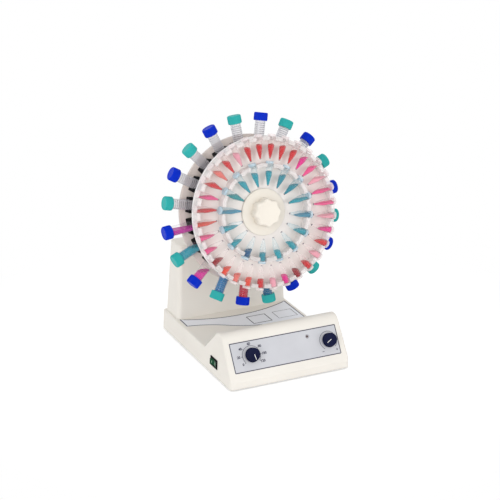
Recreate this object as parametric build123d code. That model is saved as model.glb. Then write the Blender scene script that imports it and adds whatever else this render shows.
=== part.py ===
"""Tube rotator: a bench mixer that turns a tilted two-disc rotor of sample tubes.

A moulded housing (low plinth, sloping control console, rear tower) carries a round motor
head.  The head's shaft leans back from the horizontal and turns a rotor made of a clip disc
for 15 ml tubes and a clear disc with two slotted rings for 1.5 ml tubes.

Frame: millimetres, +Z up, +Y to the rear, origin on the resting plane under the middle of
the footprint.  Rotor pieces are drawn in the rotor's own frame, whose z runs forwards along
the shaft from the 15 ml tubes' plane and whose y points to the top of the rotor.
"""

import os
from math import atan, cos, degrees, pi, radians, sin, tan

from build123d import *

# ---------------------------------------------------------------- housing
BASE_WIDTH = 214.0
BASE_DEPTH = 280.0
FOOT_HEIGHT = 3.0
FOOT_RADIUS = 8.0
FOOT_INSET = 20.0
WALL = 3.0
PLINTH_HEIGHT = 34.0
SIDE_DRAFT = 2.0
CORNER_RADIUS = 6.0
EDGE_ROUND = 3.0

SKIRT_HEIGHT = 12.0
PANEL_LEAN = 32.0
RIDGE_Y = 47.5
RIDGE_RADIUS = 17.0
CONSOLE_DEPTH = 105.0

TOWER_HEIGHT = 131.0
TOWER_DEPTH = 55.0
TOWER_SIDE_STEP = 5.5
TOWER_REAR_STEP = 3.0
TOWER_DRAFT = 2.0
TOWER_REAR_LEAN = 5.0
TOWER_CORNER = 8.0

BASE_PLATE = 1.5
PLATE_GAP = 0.5
BOSS_RADIUS = 4.5
SCREW_RADIUS = 1.5
SCREW_HEAD_RADIUS = 3.0
SCREW_HEAD_HEIGHT = 1.8
SCREW_BITE = 7.0
PILOT_DEPTH = 9.0
PILOT_RADIUS = 1.4
BOSS_HEIGHT = 14.0

# ---------------------------------------------------------------- rotor axis and motor head
ROTOR_REACH = 71.65
ROTOR_RISE = 75.5
ROTOR_TILT = 12.4

HEAD_RADIUS = 50.0
HEAD_FRONT = -26.0
HEAD_LENGTH = 88.0
HEAD_ROUND = 6.0
NECK_WIDTH = 112.0
NECK_TAPER = 14.0
CABLE_SLOT = 60.0
COVER_THICKNESS = 4.0
LOUVRE_COUNT = 5
LOUVRE_WIDTH = 3.0
LOUVRE_PITCH = 9.0

BEARING_RADIUS = 14.0
BEARING_WIDTH = 8.0
BEARING_LAND = 4.0
HUB_BOSS_WALL = 6.0
HUB_BOSS_LENGTH = 34.0
SHAFT_RADIUS = 6.0
RUNNING_GAP = 0.05
FIT_GAP = 0.3
SLEEVE_RADIUS = 8.0
SLEEVE_LENGTH = 16.0
GEARBOX_RADIUS = 18.5
GEARBOX_LENGTH = 22.0
MOTOR_RADIUS = 16.5
MOTOR_LENGTH = 25.0
OUTPUT_RADIUS = 3.0
MOTOR_PLATE = 2.0
OUTPUT_BORE = 14.0
OUTPUT_HOLD = 13.0
OUTPUT_ROOT = 11.0

# ---------------------------------------------------------------- rotor
LARGE_COUNT = 20
LARGE_PHASE = 78.4
LARGE_RADIUS = 8.5
LARGE_LENGTH = 118.0
LARGE_CONE = 22.0
LARGE_TIP_RADIUS = 2.6
LARGE_SIDES = 8
CAP_RADIUS = 11.4
CAP_HEIGHT = 13.5
TIP_GAP = 11.5

CLIP_THICKNESS = 1.5
CLIP_LENGTH = 16.0
CLIP_MARGIN = 10.0
CLIP_LIP = 5.5

DISC_TO_CAPS = 22.0
BACK_DISC_THICKNESS = 5.0
FRONT_DISC_STEP = 0.4
FRONT_DISC_THICKNESS = 4.0
DISC_SPACING = 48.7
DRUM_RADIUS = 29.0
DRUM_WALL = 3.0
FLANGE_RADIUS = 26.0
FLANGE_THICKNESS = 4.0
FLANGE_CIRCLE = 20.0
FLANGE_LAND = 8.0
COLLAR_WALL = 6.0
DISC_RIM = 4.0
DISC_RECESS = 2.0

MICRO_BARREL_RADIUS = 5.4
MICRO_TIP_RADIUS = 1.8
MICRO_BARREL = 18.0
MICRO_CONE = 18.4
MICRO_LID_RADIUS = 6.5
MICRO_LID = 4.0
MICRO_SIDES = 6
OUTER_COUNT = 32
OUTER_PHASE = 1.0
INNER_COUNT = 16
INNER_PHASE = 12.3
INNER_TIP_GAP = 4.4
RACK_INSET = 0.9
RACK_WALL = 6.0
RACK_FLOOR = 5.0
RACK_HEIGHT = 16.0

HUB_PLATE_RADIUS = 38.0
HUB_PLATE_THICKNESS = 3.5
KNOB_RADIUS = 24.0
KNOB_HEIGHT = 19.0
KNOB_LOBES = 8
KNOB_FLUTE = 2.9
KNOB_BORE = 15.0

# ---------------------------------------------------------------- controls
PANEL_FILM = 0.4
PANEL_CORNER = 1.2
PANEL_MARGIN = 11.5
PANEL_HEIGHT = 49.2
PANEL_START = 13.9
DIAL_RISE = 0.3
TIMER_INSET = 34.2
SPEED_INSET = 18.3
LED_STEP = 35.3
LED_DROP = 11.6
LED_RADIUS = 1.8
DIAL_KNOB_RADIUS = 12.0
DIAL_KNOB_HEIGHT = 13.0
DIAL_KNOB_FLUTES = 14
DIAL_KNOB_RIB = 0.8
DIAL_KNOB_SKIRT = 2.0
DIAL_KNOB_GAP = 0.8
CONTROL_SHAFT_RADIUS = 3.0
BUSHING_RADIUS = 4.5
NUT_ACROSS = 11.0
NUT_THICKNESS = 2.0
TIMER_BODY = (44.0, 38.0, 32.0)
POT_RADIUS = 12.0
POT_LENGTH = 11.0

SWITCH_Y = -75.5
SWITCH_Z = 25.5
SWITCH_LENGTH = 25.0
SWITCH_HEIGHT = 16.0
SWITCH_FRAME = 2.0
SWITCH_PROUD = 1.6
SWITCH_BODY_DEPTH = 18.0
ROCKER_CROWN = 1.4
ROCKER_THROW = 14.0

DECK_LABEL_FILM = 0.3
LABEL_MARGIN = 2.0
LABEL_DEPTH = 80.0
LABEL_DIP = 23.1
LABEL_NOTCH = 32.0
LABEL_NOTCH_X = 26.0

INLET_INSET = 52.0
INLET_RISE = 41.0
INLET_WIDTH = 31.0
INLET_HEIGHT = 24.0
INLET_FLANGE = 2.5
INLET_DEPTH = 20.0
SOCKET_WIDTH = 24.0
SOCKET_HEIGHT = 16.5
SOCKET_DEPTH = 17.0
PIN_LENGTH = 11.0
FUSE_STEP = 35.0
FUSE_RADIUS = 8.0
FUSE_PROUD = 6.0

BOARD = (110.0, 70.0, 1.6)
BOARD_Y = -5.0
BOARD_RISE = 8.0
BOARD_INSET = 5.0
PILLAR_RADIUS = 3.2
STUD_PROUD = 2.4
HEAT_SINK = (30.0, 12.0, 12.4)
HEAT_SINK_PLACE = (30.0, 15.0)
FIN_GAP = 3.0
FIN_PITCH = 7.0
CAPACITOR = (6.0, 13.4)
CAPACITOR_PLACES = ((-30.0, -10.0), (-46.0, -10.0))
RELAY = (26.0, 12.0, 10.4)
RELAY_PLACE = (5.0, -28.0)
TRANSFORMER = (54.0, 18.0, 46.0)
TRANSFORMER_X = -40.0
BOBBIN = (30.0, 40.0, 28.0)
BRACKET = (70.0, 1.5)

# ---------------------------------------------------------------- flat sides of small rounds
SMALL_SIDES = 6
TURNED_SIDES = 12
DISC_SIDES = 42
HOLE_SIDES = 12

# ---------------------------------------------------------------- worked-out places
FRONT_Y = -BASE_DEPTH / 2
REAR_Y = BASE_DEPTH / 2
HOUSING_Z = FOOT_HEIGHT
DECK_Z = HOUSING_Z + PLINTH_HEIGHT
TOWER_TOP = DECK_Z + TOWER_HEIGHT
TOWER_REAR = REAR_Y - TOWER_REAR_STEP
TOWER_FRONT = TOWER_REAR - TOWER_DEPTH
PLATE_TOP = HOUSING_Z + PLATE_GAP + BASE_PLATE
ROTOR_Y = TOWER_FRONT - ROTOR_REACH
ROTOR_Z = TOWER_TOP + ROTOR_RISE
TILT = radians(ROTOR_TILT)
LEAN = radians(PANEL_LEAN)

ROTOR = Plane(
    origin=(0, ROTOR_Y, ROTOR_Z), x_dir=(1, 0, 0), z_dir=(0, -cos(TILT), sin(TILT))
).location
PANEL = Plane(
    origin=(
        0,
        FRONT_Y + PANEL_START * sin(LEAN),
        HOUSING_Z + SKIRT_HEIGHT + PANEL_START * cos(LEAN),
    ),
    x_dir=(1, 0, 0),
    z_dir=(0, -cos(LEAN), sin(LEAN)),
).location
PANEL_WIDTH = BASE_WIDTH - 2 * PANEL_MARGIN
TIMER_X = TIMER_INSET - PANEL_WIDTH / 2
SPEED_X = PANEL_WIDTH / 2 - SPEED_INSET
LED_X = SPEED_X - LED_STEP
LED_Y = PANEL_HEIGHT - LED_DROP
DIAL_Y = PANEL_HEIGHT / 2 + DIAL_RISE
INLET_X = BASE_WIDTH / 2 - INLET_INSET
INLET_Z = DECK_Z + INLET_RISE
FUSE_X = INLET_X - FUSE_STEP
REAR_LEAN = radians(TOWER_REAR_LEAN)
REAR_WALL = Plane(
    origin=(0, TOWER_REAR - (INLET_Z - DECK_Z) * tan(REAR_LEAN), INLET_Z),
    x_dir=(-1, 0, 0),
    z_dir=(0, cos(REAR_LEAN), sin(REAR_LEAN)),
).location
LEFT_WALL = Plane(
    origin=(
        -BASE_WIDTH / 2 + (SWITCH_Z - HOUSING_Z) * tan(radians(SIDE_DRAFT)),
        SWITCH_Y,
        SWITCH_Z,
    ),
    x_dir=(0, -1, 0),
    z_dir=(-cos(radians(SIDE_DRAFT)), 0, sin(radians(SIDE_DRAFT))),
).location

BACK_DISC_FRONT = -(LARGE_RADIUS + FIT_GAP + CLIP_THICKNESS)
BACK_DISC_BACK = BACK_DISC_FRONT - BACK_DISC_THICKNESS
FRONT_DISC_BACK = BACK_DISC_FRONT + DISC_SPACING
FRONT_DISC_FRONT = FRONT_DISC_BACK + FRONT_DISC_THICKNESS
CAP_OUTER = DRUM_RADIUS + TIP_GAP + LARGE_LENGTH
CAP_BOTTOM = CAP_OUTER - CAP_HEIGHT
BACK_DISC_RADIUS = CAP_BOTTOM - DISC_TO_CAPS
FRONT_DISC_RADIUS = BACK_DISC_RADIUS - FRONT_DISC_STEP
CLIP_START = BACK_DISC_RADIUS - CLIP_MARGIN - CLIP_LENGTH
MICRO_AXIS = FRONT_DISC_FRONT + RACK_FLOOR + MICRO_BARREL_RADIUS + FIT_GAP
OUTER_TIP = FRONT_DISC_RADIUS - RACK_INSET + FIT_GAP - MICRO_BARREL - MICRO_CONE
INNER_TIP = HUB_PLATE_RADIUS + INNER_TIP_GAP
HUB_PLATE_FRONT = FRONT_DISC_FRONT + HUB_PLATE_THICKNESS
HEAD_BACK = HEAD_FRONT - HEAD_LENGTH
NECK_BACK = ROTOR_Y - (HEAD_BACK + (ROTOR_Z - TOWER_TOP) * sin(TILT)) / cos(TILT)
BOSS_BACK = HEAD_FRONT - HUB_BOSS_LENGTH
BOSS_OUTER = BEARING_RADIUS + HUB_BOSS_WALL
BEARING_TWO = HEAD_FRONT - BEARING_WIDTH - BEARING_LAND
SLEEVE_FRONT = BEARING_TWO - BEARING_WIDTH - FIT_GAP
SLEEVE_BACK = SLEEVE_FRONT - SLEEVE_LENGTH
GEARBOX_FRONT = SLEEVE_BACK - 2 * FIT_GAP - MOTOR_PLATE
SHAFT_FRONT = HUB_PLATE_FRONT + KNOB_BORE - 2 * FIT_GAP


def rod(radius, low, high, x=0.0, y=0.0):
    """A round bar along z from low to high."""
    return Pos(x, y, (low + high) / 2) * Cylinder(radius, high - low)


def prism(radius, low, high, x=0.0, y=0.0, sides=SMALL_SIDES):
    """A bar with flat sides, for what is small and repeats; its corners lie on the radius."""
    return Pos(x, y, low) * extrude(RegularPolygon(radius, sides), amount=high - low)


def hole(radius, low, high, x=0.0, y=0.0, sides=SMALL_SIDES):
    """A hole with flat sides that clears a round bar of the radius."""
    return prism(radius / cos(pi / sides), low, high, x, y, sides)


def slab(width, height, low, high, x=0.0, y=0.0):
    """A block centred on (x, y), from low to high in z."""
    return Pos(x, y, (low + high) / 2) * Box(width, height, high - low)


def narrowed(radius, end_radius, low, high, sides):
    """A flat-sided cone that narrows downwards from its radius to its end's."""
    block = prism(radius, low, high, sides=sides)
    angle = degrees(atan((radius - end_radius) * cos(pi / sides) / (high - low)))
    return draft(block.faces().filter_by(Axis.Z, reverse=True), Plane.XY.offset(high), -angle)


def around(piece, count, phase=0.0, radius=0.0):
    """Copies of a piece on a circle, each turned to point outwards."""
    step = 360.0 / count
    return [Rot(0, 0, phase + step * i) * Pos(radius, 0, 0) * piece for i in range(count)]


def group(pieces):
    """Separate solids kept side by side in one node."""
    return Compound(children=list(pieces))


# ---------------------------------------------------------------- housing mouldings


def side_profile(inset):
    """Side view of the plinth and console, pushed in by a wall thickness.

    It runs past the footprint all round, so that the drafted block alone trims it there.
    """
    past = 3 * WALL
    ridge_z = HOUSING_Z + SKIRT_HEIGHT + RIDGE_Y / tan(LEAN)
    points = [
        (FRONT_Y - past, HOUSING_Z - past),
        (FRONT_Y - past, HOUSING_Z + SKIRT_HEIGHT - past / tan(LEAN)),
        (FRONT_Y + RIDGE_Y, ridge_z),
        (FRONT_Y + CONSOLE_DEPTH, DECK_Z),
        (REAR_Y + past, DECK_Z),
        (REAR_Y + past, HOUSING_Z - past),
    ]
    face = Plane.YZ * make_face(Polyline(*points, close=True))
    face = fillet(face.vertices().sort_by(Axis.Z)[-1], RIDGE_RADIUS)
    foot = face.vertices().sort_by_distance((0, FRONT_Y + CONSOLE_DEPTH, DECK_Z))[0]
    face = fillet(foot, RIDGE_RADIUS / 3)
    if inset:
        face = offset(face, -inset)
    return face


def drafted_block(inset):
    """The footprint drawn upwards with the mould's draft, which trims the sides."""
    height = SKIRT_HEIGHT + RIDGE_Y / tan(LEAN) + inset
    trim = 2 * inset * (1 - tan(radians(SIDE_DRAFT)))
    if inset:
        base = Rectangle(BASE_WIDTH - trim, BASE_DEPTH - trim)
    else:
        base = RectangleRounded(BASE_WIDTH, BASE_DEPTH, CORNER_RADIUS)
    low_z = HOUSING_Z - inset
    block = Pos(0, 0, low_z) * extrude(base, amount=height)
    walls = block.faces().filter_by(Axis.Z, reverse=True)
    return draft(walls, Plane.XY.offset(low_z), SIDE_DRAFT)


def plinth_and_console(inset=0.0):
    """The low body of the housing with its console."""
    body = extrude(side_profile(inset), amount=BASE_WIDTH, both=True)
    return body & drafted_block(inset)


def upright(low, high):
    """Block with four leaning faces, and the edges between them.

    Each end is its height, half width, front and rear.
    """
    low_z, low_half, low_front, low_rear = low
    high_z, high_half, high_front, high_rear = high
    side_view = Polyline(
        (low_front, low_z), (high_front, high_z), (high_rear, high_z), (low_rear, low_z), close=True
    )
    front_view = Polyline(
        (-low_half, low_z), (low_half, low_z), (high_half, high_z), (-high_half, high_z), close=True
    )
    block = extrude(Plane.YZ * make_face(side_view), amount=BASE_WIDTH, both=True)
    block &= extrude(Plane.XZ * make_face(front_view), amount=BASE_DEPTH, both=True)
    return block, block.edges().filter_by(lambda e: abs(e.tangent_at(0.5).Z) > 0.9)


def rounded_upright(low, high, inset):
    """The block with round corners outside, and bevelled ones in its cavity."""
    block, edges = upright(low, high)
    if inset:
        return chamfer(edges, TOWER_CORNER - inset)
    return fillet(edges, TOWER_CORNER)


def tower(inset=0.0):
    """The upright at the rear, drafted on every side and leaning in at the back."""

    def end(z):
        rise = z - DECK_Z
        half = BASE_WIDTH / 2 - TOWER_SIDE_STEP - rise * tan(radians(TOWER_DRAFT)) - inset
        front = TOWER_FRONT + rise * tan(radians(TOWER_DRAFT)) + inset
        return z, half, front, TOWER_REAR - rise * tan(REAR_LEAN) - inset

    return rounded_upright(end(DECK_Z - 2 * WALL), end(TOWER_TOP - inset), inset)


def screw_places():
    """Where the base plate is screwed up into the housing."""
    x = BASE_WIDTH / 2 - WALL - BOSS_RADIUS - 4
    y = BASE_DEPTH / 2 - WALL - BOSS_RADIUS - 6
    return [(sx * x, sy) for sx in (-1, 1) for sy in (-y, 0, y)]


def housing_shell():
    """One moulding: plinth, console and tower, hollow from below, with screw bosses."""
    outer = plinth_and_console()
    top_edges = outer.edges().filter_by(
        lambda e: e.center().Z > HOUSING_Z + SKIRT_HEIGHT - 1 and abs(e.center().X) > BASE_WIDTH / 3
    )
    outer = chamfer(top_edges, EDGE_ROUND / 2)
    back = tower()
    back = chamfer(back.faces().sort_by(Axis.Z)[-1].edges(), EDGE_ROUND / 2)
    shell = outer + back - plinth_and_console(WALL) - tower(WALL)
    for x, y in screw_places():
        boss = prism(BOSS_RADIUS, PLATE_TOP, DECK_Z + SKIRT_HEIGHT, x, y) & outer
        shell += boss - hole(PILOT_RADIUS, PLATE_TOP - 1, PLATE_TOP + PILOT_DEPTH, x, y)
    for x in (TIMER_X, SPEED_X):
        shell -= PANEL * hole(BUSHING_RADIUS + FIT_GAP, -2 * WALL, 1, x, DIAL_Y, HOLE_SIDES)
    shell -= PANEL * hole(LED_RADIUS + FIT_GAP, -2 * WALL, 1, LED_X, LED_Y, HOLE_SIDES)
    shell -= LEFT_WALL * slab(
        SWITCH_LENGTH - 2 * SWITCH_FRAME + 2 * FIT_GAP,
        SWITCH_HEIGHT - 2 * SWITCH_FRAME + 2 * FIT_GAP,
        -2 * WALL,
        1,
    )
    inlet_cut = slab(INLET_WIDTH - 4 + 2 * FIT_GAP, INLET_HEIGHT - 4 + 2 * FIT_GAP, -2 * WALL, 1)
    shell -= REAR_WALL * Pos(-INLET_X, 0, 0) * inlet_cut
    shell -= REAR_WALL * hole(FUSE_RADIUS - 2 + FIT_GAP, -2 * WALL, 1, -FUSE_X, 0, HOLE_SIDES)
    slot_y, slot_depth = neck_middle()
    shell -= slab(CABLE_SLOT, slot_depth, TOWER_TOP - 2 * WALL, TOWER_TOP + 1, y=slot_y)
    for x, y in head_screw_places():
        shell -= hole(SCREW_RADIUS + FIT_GAP, TOWER_TOP - 2 * WALL, TOWER_TOP + 1, x, y)
    return shell


def base_plate():
    """Pressed steel plate inside the lower rim, with vent slots and screw holes."""
    gap = WALL + FIT_GAP
    outline = Rectangle(BASE_WIDTH - 2 * gap, BASE_DEPTH - 2 * gap)
    outline = chamfer(outline.vertices(), CORNER_RADIUS - WALL)
    plate = Pos(0, 0, HOUSING_Z + PLATE_GAP) * extrude(outline, amount=BASE_PLATE)
    for x, y in screw_places():
        plate -= hole(SCREW_RADIUS + FIT_GAP, 0, PLATE_TOP + 1, x, y)
    for i in range(LOUVRE_COUNT + 2):
        x = LOUVRE_PITCH * (i - (LOUVRE_COUNT + 1) / 2)
        plate -= slab(LOUVRE_WIDTH, 40, 0, PLATE_TOP + 1, x, REAR_Y / 2)
    return plate


def foot_places():
    """The four feet near the plate's corners."""
    x = BASE_WIDTH / 2 - FOOT_INSET - FOOT_RADIUS
    y = BASE_DEPTH / 2 - FOOT_INSET - FOOT_RADIUS
    return [(sx * x, sy * y) for sx in (-1, 1) for sy in (-1, 1)]


def rubber_feet():
    """Four moulded feet, wider where they meet the plate."""
    top = HOUSING_Z + PLATE_GAP
    foot = narrowed(FOOT_RADIUS, FOOT_RADIUS - 1, 0, top, TURNED_SIDES)
    return group(Pos(x, y, 0) * foot for x, y in foot_places())


def screw(length):
    """A pan-head screw pointing up, with the underside of its head at z = 0."""
    return prism(SCREW_RADIUS - 0.2, 0, length) + prism(SCREW_HEAD_RADIUS, -SCREW_HEAD_HEIGHT, 0)


def base_screws():
    """Screws that hold the plate to the housing's bosses."""
    seat = HOUSING_Z + PLATE_GAP
    return group(Pos(x, y, seat) * screw(BASE_PLATE + SCREW_BITE) for x, y in screw_places())


# ---------------------------------------------------------------- motor head


def neck_front(z):
    """Front face of the neck, in line with the tower's front."""
    return TOWER_FRONT + (z - DECK_Z) * tan(radians(TOWER_DRAFT)) + EDGE_ROUND


def neck_rear(z):
    """Rear face of the neck, in line with the tower's leaning back."""
    return TOWER_REAR - (z - DECK_Z) * tan(REAR_LEAN) - EDGE_ROUND


def neck(inset=0.0):
    """Tapered pedestal between the tower's top and the round head."""

    def end(z, width):
        return z, width / 2 - inset, neck_front(z) + inset, neck_rear(z) - inset

    foot = end(TOWER_TOP, NECK_WIDTH)
    top = end(TOWER_TOP + HEAD_RADIUS, NECK_WIDTH - 2 * NECK_TAPER)
    return rounded_upright(foot, top, inset)


def neck_middle():
    """Centre and inside depth, front to back, of the neck's foot."""
    front = neck_front(TOWER_TOP) + WALL
    back = NECK_BACK - WALL
    return (front + back) / 2, back - front


def head_screw_places():
    """Two screws up through the tower's roof into the neck."""
    x = NECK_WIDTH / 2 - WALL - BOSS_RADIUS / 2
    return [(-x, neck_middle()[0]), (x, neck_middle()[0])]


def cover_screw_places():
    """Three screws around the rear cover."""
    radius = HEAD_RADIUS - BOSS_RADIUS - WALL / 2
    return [(radius * cos(radians(a)), radius * sin(radians(a))) for a in (90, 210, 330)]


def head_shell():
    """Round moulded head on its neck, with the bearing boss inside its front wall."""
    pod = prism(HEAD_RADIUS, HEAD_BACK, HEAD_FRONT, sides=DISC_SIDES)
    pod = chamfer(pod.faces().sort_by(Axis.Z)[-1].edges(), HEAD_ROUND / 2)
    cavity = prism(
        HEAD_RADIUS - WALL, HEAD_BACK - 1, HEAD_FRONT - WALL, sides=2 * TURNED_SIDES
    )
    boss = prism(BOSS_OUTER, BOSS_BACK, HEAD_FRONT - WALL + 0.5, sides=TURNED_SIDES)
    bore = prism(SHAFT_RADIUS + 3, BOSS_BACK - 1, HEAD_FRONT + 1, sides=TURNED_SIDES)
    seat = BEARING_RADIUS + RUNNING_GAP
    seats = prism(seat, HEAD_FRONT - BEARING_WIDTH, HEAD_FRONT + 1, sides=TURNED_SIDES)
    seats += prism(seat, BOSS_BACK - 1, BEARING_TWO, sides=TURNED_SIDES)
    in_front = ROTOR * slab(3 * HEAD_RADIUS, 6 * HEAD_RADIUS, HEAD_BACK, 0)
    in_back_wall = ROTOR * slab(3 * HEAD_RADIUS, 6 * HEAD_RADIUS, HEAD_BACK + WALL, 0)
    shell = ROTOR * pod + (neck() & in_front) - (neck(WALL) & in_back_wall) - ROTOR * cavity
    shell += ROTOR * boss
    for x, y in head_screw_places():
        shell += prism(BOSS_RADIUS, TOWER_TOP, TOWER_TOP + BOSS_HEIGHT, x, y) & neck()
        shell -= hole(PILOT_RADIUS, TOWER_TOP - 1, TOWER_TOP + PILOT_DEPTH, x, y)
    for x, y in cover_screw_places():
        shell += ROTOR * prism(BOSS_RADIUS, HEAD_BACK, HEAD_BACK + BOSS_HEIGHT, x, y)
        shell -= ROTOR * hole(PILOT_RADIUS, HEAD_BACK - 1, HEAD_BACK + PILOT_DEPTH, x, y)
    return shell - ROTOR * bore - ROTOR * seats


def head_screws():
    """Screws from inside the tower that hold the head."""
    seat = TOWER_TOP - WALL
    return group(Pos(x, y, seat) * screw(WALL + SCREW_BITE) for x, y in head_screw_places())


def head_rear_cover():
    """Flat cover with louvres that closes the back of the head."""
    cover = prism(HEAD_RADIUS, HEAD_BACK - COVER_THICKNESS, HEAD_BACK, sides=DISC_SIDES)
    for i in range(LOUVRE_COUNT):
        y = LOUVRE_PITCH * (i - (LOUVRE_COUNT - 1) / 2)
        cover -= slab(44, LOUVRE_WIDTH, HEAD_BACK - COVER_THICKNESS - 1, HEAD_BACK + 1, y=y)
    for x, y in cover_screw_places():
        cover -= hole(SCREW_RADIUS + FIT_GAP, HEAD_BACK - 2 * COVER_THICKNESS, HEAD_BACK + 1, x, y)
    return ROTOR * cover


def cover_screws():
    """Screws of the rear cover."""
    seat = HEAD_BACK - COVER_THICKNESS
    return group(
        ROTOR * Pos(x, y, seat) * screw(COVER_THICKNESS + SCREW_BITE)
        for x, y in cover_screw_places()
    )


def shaft_bearings():
    """Two shielded ball bearings, one at each side of the land in the head's boss."""
    inner = SHAFT_RADIUS + RUNNING_GAP
    fronts = (HEAD_FRONT, BEARING_TWO)
    race = prism(BEARING_RADIUS, -BEARING_WIDTH, 0, sides=TURNED_SIDES)
    race -= hole(inner, -BEARING_WIDTH - 1, 1, sides=2 * TURNED_SIDES)
    return ROTOR * group(Pos(0, 0, z) * race for z in fronts)


def motor_plate():
    """Steel plate screwed to the bearing boss, which carries the gear motor."""
    back = GEARBOX_FRONT
    front = back + MOTOR_PLATE
    plate = prism(BOSS_OUTER + 6, back, front, sides=TURNED_SIDES)
    plate -= hole(SLEEVE_RADIUS + 1.5, back - 1, front + 1, sides=TURNED_SIDES)
    for post in around(prism(2.4, front, BOSS_BACK), 4, 45, BEARING_RADIUS + HUB_BOSS_WALL / 2):
        plate += post
    return ROTOR * plate


def gear_motor():
    """Round gearbox with a smaller motor can and its terminal end."""
    can_front = GEARBOX_FRONT - GEARBOX_LENGTH
    gearbox = prism(GEARBOX_RADIUS, can_front, GEARBOX_FRONT, sides=TURNED_SIDES)
    can = prism(MOTOR_RADIUS, can_front - MOTOR_LENGTH, can_front, sides=TURNED_SIDES)
    radius = OUTPUT_RADIUS + RUNNING_GAP
    bore = hole(radius, GEARBOX_FRONT - OUTPUT_ROOT - 1, GEARBOX_FRONT + 1, sides=HOLE_SIDES)
    return ROTOR * (gearbox + can - bore)


# ---------------------------------------------------------------- rotor drive


def drive_shaft():
    """Stepped shaft: bored sleeve for the motor, bearing seat and threaded front end."""
    shaft = rod(SHAFT_RADIUS, SLEEVE_FRONT - 0.5, HUB_PLATE_FRONT)
    thread = prism(SHAFT_RADIUS - 1, HUB_PLATE_FRONT - 0.5, SHAFT_FRONT, sides=TURNED_SIDES)
    sleeve = prism(SLEEVE_RADIUS, SLEEVE_BACK, SLEEVE_FRONT, sides=TURNED_SIDES)
    radius = OUTPUT_RADIUS + RUNNING_GAP
    bore = hole(radius, SLEEVE_BACK - 1, SLEEVE_BACK + OUTPUT_BORE, sides=HOLE_SIDES)
    return ROTOR * (shaft + thread + sleeve - bore)


def gearbox_output():
    """The gearbox's output spindle, held in the sleeve by its set screw."""
    low, high = GEARBOX_FRONT - OUTPUT_ROOT, SLEEVE_BACK + OUTPUT_HOLD
    return ROTOR * prism(OUTPUT_RADIUS, low, high, sides=HOLE_SIDES)


def hub_flange():
    """Turned flange clamped on the shaft, which carries the clip disc."""
    inner = SHAFT_RADIUS + RUNNING_GAP
    collar_back = HEAD_FRONT + 1.5
    flange_back = BACK_DISC_BACK - FLANGE_THICKNESS
    body = prism(FLANGE_RADIUS, flange_back, BACK_DISC_BACK, sides=TURNED_SIDES)
    collar = SHAFT_RADIUS + COLLAR_WALL
    body += prism(collar, collar_back, flange_back + 0.5, sides=TURNED_SIDES)
    clearance = hole(SCREW_RADIUS + FIT_GAP / 3, flange_back - 1, BACK_DISC_BACK + 1)
    for cut in around(clearance, 4, 45, FLANGE_CIRCLE):
        body -= cut
    return ROTOR * (body - hole(inner, collar_back - 1, BACK_DISC_BACK + 1, sides=TURNED_SIDES))


def flange_screws():
    """Four screws from the flange into the clip disc."""
    seat = BACK_DISC_BACK - FLANGE_THICKNESS
    one = Pos(0, 0, seat) * screw(FLANGE_THICKNESS + BACK_DISC_THICKNESS - 1)
    return ROTOR * group(around(one, 4, 45, FLANGE_CIRCLE))


def back_disc():
    """Moulded clip disc with a stiffening rim and a raised land on its back."""
    disc = prism(BACK_DISC_RADIUS, BACK_DISC_BACK, BACK_DISC_FRONT, sides=DISC_SIDES)
    low, floor = BACK_DISC_BACK - 1, BACK_DISC_BACK + DISC_RECESS
    recess = prism(BACK_DISC_RADIUS - DISC_RIM, low, floor, sides=DISC_SIDES)
    recess -= prism(FLANGE_RADIUS + FLANGE_LAND, low, floor, sides=2 * TURNED_SIDES)
    disc -= recess + hole(SHAFT_RADIUS + RUNNING_GAP, low, BACK_DISC_FRONT + 1, sides=TURNED_SIDES)
    pilot = hole(PILOT_RADIUS, low, BACK_DISC_FRONT - 0.8)
    for cut in around(pilot, 4, 45, FLANGE_CIRCLE):
        disc -= cut
    return ROTOR * disc


# ---------------------------------------------------------------- tubes and their holders


def large_angles(parity):
    """Angles of every second large tube, starting from the first or the second."""
    step = 360.0 / LARGE_COUNT
    return [LARGE_PHASE - step * i for i in range(parity, LARGE_COUNT, 2)]


def outward(shape, angle):
    """Turns a shape drawn along z so that it points out from the axis at an angle."""
    return Rot(0, 0, angle) * Rot(0, 90, 0) * shape


def tube_clip():
    """Sprung U-shaped clip, drawn with the tube along z and its base at -x."""
    inner = LARGE_RADIUS + FIT_GAP
    outer = inner + CLIP_THICKNESS
    lip = LARGE_RADIUS - CLIP_LIP / 4
    half = [
        (-outer, outer),
        (2, outer),
        (CLIP_LIP, lip + CLIP_THICKNESS),
        (CLIP_LIP + 3, lip + CLIP_THICKNESS + 2),
        (CLIP_LIP, lip),
        (1.4, inner),
        (-inner, inner),
    ]
    full = half + [(x, -y) for x, y in reversed(half)]
    face = make_face(Polyline(*full, close=True))
    return Pos(0, 0, CLIP_START) * extrude(face, amount=CLIP_LENGTH)


def tube_clips():
    """Twenty black spring clips on the clip disc."""
    # After turning the clip outwards its -x side lies towards -z, on the disc.
    clip = Rot(0, 90, 0) * Rot(0, 0, 180) * tube_clip()
    return ROTOR * group(around(clip, LARGE_COUNT, LARGE_PHASE))


def large_tube():
    """A 15 ml tube below its cap, drawn outwards along z."""
    tip = CAP_OUTER - LARGE_LENGTH
    shoulder = tip + LARGE_CONE
    cone = narrowed(LARGE_RADIUS, LARGE_TIP_RADIUS, tip, shoulder, LARGE_SIDES)
    return cone + prism(LARGE_RADIUS, shoulder, CAP_BOTTOM, sides=LARGE_SIDES)


def large_tubes():
    """The clear bodies of all the 15 ml tubes."""
    body = large_tube()
    angles = large_angles(0) + large_angles(1)
    return ROTOR * group(outward(body, a) for a in angles)


def tube_caps(parity):
    """Screw caps of one colour, on every second tube."""
    cap = prism(CAP_RADIUS, CAP_BOTTOM, CAP_OUTER, sides=LARGE_SIDES)
    return ROTOR * group(outward(cap, a) for a in large_angles(parity))


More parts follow.
